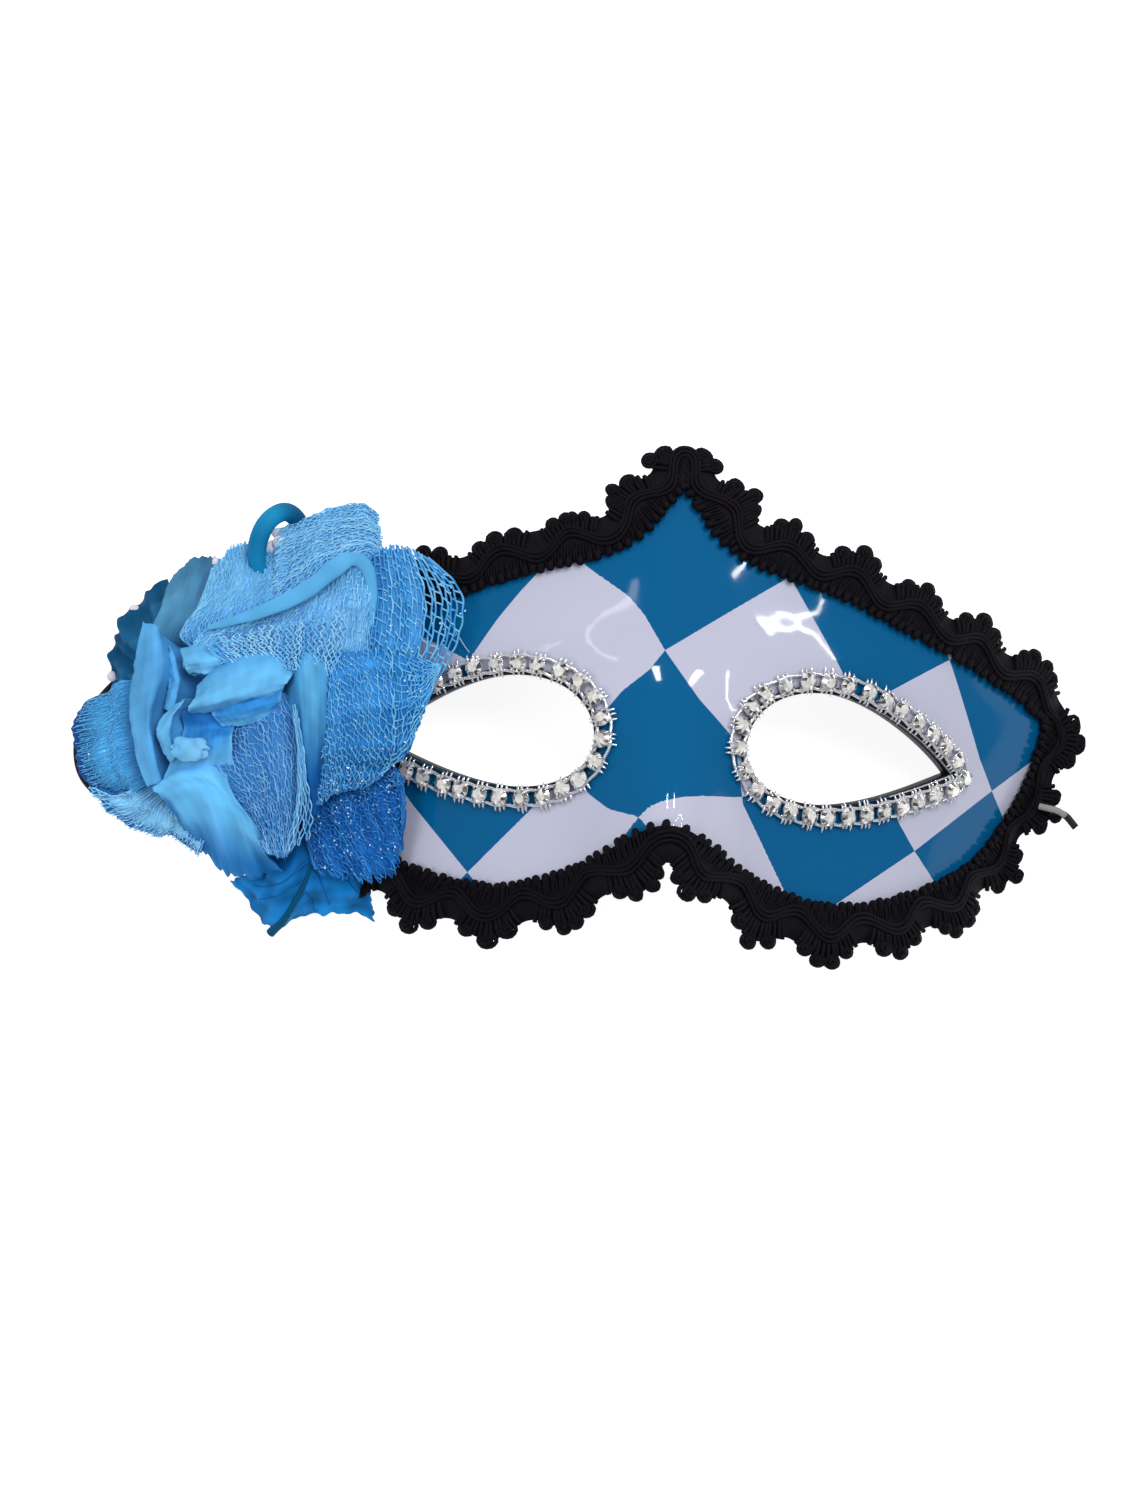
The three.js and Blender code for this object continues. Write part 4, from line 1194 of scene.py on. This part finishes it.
# Looped strands that hang free along an edge, between two lines of places
Fringe = namedtuple("Fringe", "inner outer strands dark light")
FRINGES = {
    "petal_net_low": Fringe([(291, 706, 38), (296, 735, 38), (298, 770, 37), (295, 808, 35), (284, 855, 30)],
                            [(297, 704, 39), (302, 738, 39), (307, 777, 38), (313, 810, 34), (311, 838, 29)],
                            10, "4aa0dc", "a4d8f4"),
    "petal_satin_top": Fringe([(204, 640, 37), (211, 652, 37), (222, 664, 37)],
                              [(352, 606, 41), (344, 640, 41), (334, 674, 39)],
                              52, "58b0ea", "a8e0fb"),
}

# A loose thread of the open net that has come down on the film
STRAY = [(447, 618, 41), (456, 632, 40), (466, 648, 38.5), (477, 661, 37.5)]


def fringe(form, rng, steps=50):
    """Strands that wind past each other between the two lines."""
    share = np.linspace(0, 1, steps)
    inner = Line(seen(form.inner), closed=False).at(share)
    outer = Line(seen(form.outer), closed=False).at(share)
    paths = []
    for k in range(form.strands):
        turn = share * TURN * 8 + math.pi * k
        side = (k + 0.5 + 0.5 * np.sin(turn) + 0.6 * wobble(share * 8, rng, 3)) / form.strands
        path = inner * (1 - side[:, None]) + outer * side[:, None]
        path[:, 2] += 0.6 + 0.25 * np.cos(turn) + 0.5 * rng.uniform()
        start = int(rng.uniform(0, 0.15) * steps)
        path[:start] = path[start]
        paths.append(path)
    p, f = tubes(np.array(paths), 0.17, 5)
    tone = mix(linear(form.dark), linear(form.light), rng.uniform(0, 1, form.strands))
    return p, f, per_tube(tone, steps)


def flakes(name, surface, rng):
    """Glitter: small square flakes scattered over a net petal."""
    count = NETS[name].flakes
    u = NET_START + (1 - NET_START) * rng.uniform(0.1, 1.0, count)
    v = rng.uniform(0.02, 0.98, count)
    centre = surface.at(u, v, surface.relief(u, v) + 0.9)
    first = unit(rng.normal(size=(count, 3)))
    second = unit(np.cross(first, rng.normal(size=(count, 3))))
    size = rng.uniform(0.09, 0.24, count)[:, None]
    corners = [centre + size * (a * first + b * second) for a, b in SQUARE]
    points = np.stack(corners, 1).reshape(-1, 3)
    tone = mix(linear("3a9cea"), linear("eaf8ff"), rng.uniform(0, 1, count) ** 1.8)
    return points, np.arange(len(points)).reshape(-1, 4), np.repeat(tone, 4, axis=0)


# Rolled edges, as places that the photograph shows, with their radius and colour
RIMS = {
    "petal_satin_top": ([(208, 628, 37), (258, 613, 41), (304, 592, 43), (335, 568, 43), (353, 559, 42),
                         (366, 567, 41), (372, 590, 39), (372, 628, 37)], 2.05, linear("56a6d8")),
}


# Veins of the leaf: which side of the stem, where they leave it and how far they spread
VEINS = [(-1, 0.45, 0.4), (-1, 0.58, 0.33), (1, 0.4, 0.42), (1, 0.52, 0.24), (1, 0.68, 0.2)]


def leaf_veins(surface):
    """The raised stem of the leaf, thick at its cut end, and its fine veins."""
    run = np.linspace(0.3, 1.03, 30)
    middle = 0.52 - 0.14 * run ** 2
    stem = surface.at(run, middle, 0.4 + surface.relief(run, middle))
    p, f = tubes(stem[None], (0.2 + 0.9 * run ** 2)[None], 8)
    parts = [(p, f, linear("064a6e"))]
    share = np.linspace(0, 1, 16)
    for side, start, spread in VEINS:
        u = np.minimum(start + 0.36 * share ** 1.4, 0.97)
        v = np.interp(start, run, middle) + side * spread * share ** 0.8
        vein = surface.at(u, v, 0.3 + surface.relief(u, v))
        p, f = tubes(vein[None], (0.3 - 0.2 * share)[None], 6)
        parts.append((p, f, linear("0d5f9c")))
    return joined(parts)


KNOB = dict(place=(190, 749, 38), radius=3.2, squash=(1.2, 0.95, 0.9), steps=26)
CORE_TIP = dict(half_length=3, radius=0.5)


def ball(centre, radius, steps=18):
    """A round lump as a grid of points, and its faces."""
    polar = np.linspace(0, math.pi, steps)[:, None]
    around = np.linspace(0, TURN, 2 * steps)[None]
    flat = [np.sin(polar) * np.cos(around), np.sin(polar) * np.sin(around), np.cos(polar) + 0 * around]
    return centre + np.stack(flat, -1) * radius, grid_faces(steps, 2 * steps)


def core_body():
    """The core that the petals are sewn to."""
    seat, lean = rose_line()
    first = unit(np.cross(lean, [0, 0, 1.0]))
    second = np.cross(lean, first)
    end = CORE["neck"] + CORE_TIP["half_length"]
    heights = np.linspace(0.2, end, 30)
    stations = [0, CORE["collar"], CORE["neck"] - CORE_TIP["half_length"], end]
    radii = [CORE["radius"], CORE["radius"], CORE["neck_radius"], CORE_TIP["radius"]]
    angle = np.linspace(0, TURN, 37)
    wide = np.interp(heights, stations, radii)[:, None, None]
    body = seat + heights[:, None, None] * lean
    body = body + wide * (np.cos(angle)[:, None] * first + np.sin(angle)[:, None] * second)
    return body, grid_faces(len(heights), len(angle)), linear(ROYAL)


def core_knob():
    """The wound knob of satin at the rose's heart."""
    steps = KNOB["steps"]
    polar = np.linspace(0, math.pi, steps)[:, None]
    around = np.linspace(0, TURN, 2 * steps)[None]
    wound = 1 + 0.14 * np.sin(2 * around + 3 * polar) + 0.08 * np.sin(3 * around - 5 * polar)
    knob, faces = ball(np.zeros(3), KNOB["radius"] * wound[..., None], steps)
    knob = seen(KNOB["place"]) + np.roll(knob, 1, axis=-1) * np.array(KNOB["squash"])
    # Paler on its +x side, towards the key lamp, and sky blue on the other: painted light and shade on the
    # knob
    tint = mix(linear(SKY), linear("80c2ec"), 0.5 + 0.5 * np.cos(polar) * np.ones_like(around))
    return knob, faces, tint.reshape(-1, 3)


def build_core():
    piece("rose_bud", joined([core_body(), core_knob()]), [SATIN], ["rose_core"])


LOOP = [(262, 578, 25), (257, 560, 27), (258, 543, 27), (264, 527, 27), (274, 516, 26), (286, 512, 25),
        (297, 519, 22), (305, 534, 18)]
LOOP_RADIUS = 2.3
# Lumps of glue on petals, as places (u, v) and radii
GLUE = {
    "petal_net_top": [(0.99, 0.0, 1.6), (0.9, 0.0, 1.3)],
    "petal_net_back": [(0.99, 0.95, 1.7), (0.85, 1.0, 1.4)],
    "petal_teal_left": [(0.98, 0.12, 1.3), (0.97, 0.68, 1.1)],
    "petal_satin_back": [(0.97, 0.85, 1.2)],
}


def build_loop():
    """The teal loop, rolled on top of the net, with painted shade on its far side."""
    share = np.linspace(0, 1, 60)
    path = Line(seen(LOOP), closed=False).at(share)
    wide = LOOP_RADIUS * (1 - 0.4 * np.abs(2 * share - 1) ** 4)
    p, f = tubes(path[None], wide[None], 14, 0.8)
    tint = mix(linear("0a6c9c"), linear("1686b6"), 0.5 + 0.5 * np.cos(11 * share))
    # Painted shade: deeper teal on the far side of the loop, from about 0.55 to 0.75 of the way along
    tint = np.repeat(mix(tint, linear("064a72"), 0.8 * eased(share, 0.55, 0.75)), 14, axis=0)
    piece("ribbon_curl", (p, f, tint), [SATIN], ["ribbon_loop"])


def build_glue():
    """Pale lumps of glue that show at the edges of some petals."""
    rng = np.random.default_rng(31)
    parts = []
    for row in PETALS:
        for u, v, radius in GLUE.get(row.name, []):
            centre = Surface(row, row.rows, rng).at(u, v, 0.2)
            lump, faces = ball(centre, radius * rng.uniform(0.7, 1.4, 3) * (1, 1, 0.6))
            parts.append((lump, faces, linear("dcd6de")))
    piece("rose_glue", joined(parts), [SATIN])


def petal_strands(row, surface, rng):
    """The net of a petal, with its fringe and its stray thread where it has them."""
    strands = net(row.name, surface, rng)
    if row.name in FRINGES:
        strands = joined([strands, fringe(FRINGES[row.name], rng)])
    if row.name == "petal_net_right":
        path = Line(seen(STRAY), closed=False).at(np.linspace(0, 1, 24))
        p, f = tubes(path[None], 0.12, 5)
        strands = joined([strands, (p, f, linear("a9cbe2"))])
    return strands


def petal_cloth(row, surface, rng):
    """The cloth of a petal, with its smaller fold and rolled edge where it has them, and its area."""
    shape, area = cloth(surface, rng)
    parts = [shape]
    if row.name in FOLDS:
        fold, fold_area = cloth(Surface(row, FOLDS[row.name], rng), rng)
        parts.append(fold)
        area += fold_area
    if row.name in RIMS:
        places, radius, colour = RIMS[row.name]
        parts.append(rolled_rim(places, radius, colour, rng))
    return joined(parts), area * (MM * MM)


def build_petal(row, seed):
    rng = np.random.default_rng(100 + seed)
    surface = Surface(row, row.rows, rng)
    if row.name in NETS:
        strands = petal_strands(row, surface, rng)
        piece(row.name + "_strands", strands, [NET])
        glitter = flakes(row.name, surface, rng)
        piece(row.name + "_glitter", glitter, [FLAKE], smooth=False)
    if row.name == "leaf_low":
        piece("leaf_veins", leaf_veins(surface), [SATIN])
    shape, area = petal_cloth(row, surface, rng)
    sheet = piece(row.name + "_cloth", shape, [SATIN], [row.name])


# Strap

def strap_knot():
    """The pale bit of the elastic that comes through the braid."""
    path = Line(STRAP_KNOT, closed=False).at(np.linspace(0, 1, 20))
    p, f = tubes(path[None], 0.8, 8)
    return piece("strap_knot", (p, f, linear("8d8a88")), [NET])


def strap_curve(name, route, replaces):
    """A round elastic along a route on the surface."""
    points = row_frame([(x, y, STRAP_HEIGHT) for x, y in route])
    curve = bpy.data.curves.new(name, "CURVE")
    curve.dimensions = "3D"
    curve.bevel_depth = STRAP_RADIUS * MM
    curve.bevel_resolution = 3
    curve.use_fill_caps = True
    spline = curve.splines.new("POLY")
    line = Line(points, closed=False, fine=8)
    spline.points.add(len(line.points) - 1)
    for spot, p in zip(spline.points, line.points):
        spot.co = (*p, 1)
    curve.materials.append(ELASTIC)
    made = linked(name, curve)
    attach(made, "root")
    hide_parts(replaces)
    return made, line


# Camera, floor and light

def placing(place, right, up, back):
    """The matrix of a camera or lamp at a place, which faces away from back."""
    matrix = Matrix([Vector(right), Vector(up), Vector(back)]).transposed().to_4x4()
    matrix.translation = Vector(place)
    return matrix


def build_camera():
    place, right, up, back = camera_axes()
    data = bpy.data.cameras.new("camera")
    data.sensor_fit = "HORIZONTAL"
    data.sensor_width = 36
    data.lens = data.sensor_width * CAMERA["focal"] / PICTURE[0]
    camera = linked("camera", data)
    camera.matrix_world = placing(row_frame(place), right, up, back)
    bpy.context.scene.camera = camera


def area_light(name, start, end, width, power, soft=False):
    """A lamp from one place to another, facing the mask. A soft one only lights, others only reflect."""
    start, end = np.array(start, float), np.array(end, float)
    data = bpy.data.lights.new(name, "AREA")
    data.shape = "RECTANGLE"
    data.size = np.linalg.norm(end - start)
    data.size_y = width
    data.energy = power
    middle = (start + end) / 2
    side = unit(end - start)
    back = unit(middle - middle.dot(side) * side)
    made = linked(name, data)
    made.matrix_world = placing(middle, side, np.cross(back, side), back)
    made.visible_glossy = not soft
    made.visible_diffuse = soft


# Soft lamps that only light: ends (x, y, z) and width in metres, and watts
SOFT_LAMPS = {
    "key": ((-0.05, 0.48, 1.47), (0.85, 0.48, 1.47), 0.9, 18),
    "fill": ((-0.85, -0.6, 0.95), (-0.85, 0.1, 0.95), 0.7, 4.6),
}

# Strip lamps that only show in the glossy film: ends (x, y) and width in metres, watts a square metre
STRIP_HEIGHT = 1
STRIPS = [
    ((0.36, 0.375), (0.446, 0.455), 0.02, 240),
    ((0.446, 0.455), (0.805, 0.657), 0.016, 260),
    ((0.805, 0.657), (1.03, 0.665), 0.024, 260),
    ((1.03, 0.665), (1.13, 0.15), 0.02, 220),
    ((-0.1, 0.66), (-0.125, 0.92), 0.07, 260),
    ((0.335, 0.66), (0.345, 0.96), 0.07, 260),
    ((-0.12, 0.12), (-0.15, 0.32), 0.03, 35),
    ((-0.4, 0.1), (-0.7, -0.1), 0.06, 20),
]


FLOOR = dict(half=30, grey=0.55, glow=0.85)
SURROUND = dict(colour=(0.97, 0.98, 1, 1), strength=0.38)


def build_floor():
    """The plain pale floor that the mask lies on."""
    mesh = bpy.data.meshes.new("floor")
    mesh.from_pydata([(x * FLOOR["half"], y * FLOOR["half"], 0) for x, y in SQUARE], [], [(0, 1, 2, 3)])
    pale = principled("pale_floor", [FLOOR["grey"]] * 3, 0.9, Specular_IOR_Level=0.0,
                      Emission_Color=(1, 1, 1, 1), Emission_Strength=FLOOR["glow"])
    mesh.materials.append(pale)
    linked("floor", mesh)


def build_studio():
    build_floor()
    world = bpy.data.worlds.new("studio")
    world.use_nodes = True
    background = world.node_tree.nodes["Background"]
    background.inputs["Color"].default_value = SURROUND["colour"]
    background.inputs["Strength"].default_value = SURROUND["strength"]
    bpy.context.scene.world = world
    bpy.context.scene.view_settings.view_transform = "Standard"
    for name, (start, end, width, power) in SOFT_LAMPS.items():
        area_light(name, start, end, width, power, soft=True)
    for k, (start, end, width, power) in enumerate(STRIPS):
        area = math.dist(start, end) * width
        area_light(f"strip_{k}", (*start, STRIP_HEIGHT), (*end, STRIP_HEIGHT), width, power * area)


build_camera()
strap, strap_line = strap_curve("strap_cord", STRAP_ROUTE, "elastic_strap")
strap_tail = strap_curve("strap_tail", STRAP_END, "elastic_end")[0]
strap_knot()
build_studio()
build_shell()
build_braid()
build_band("right_band", 1, "rhinestone_band_right")
build_band("left_band", -1, "rhinestone_band_left")
build_core()
build_loop()
build_glue()
for seed, row in enumerate(PETALS):
    build_petal(row, seed)
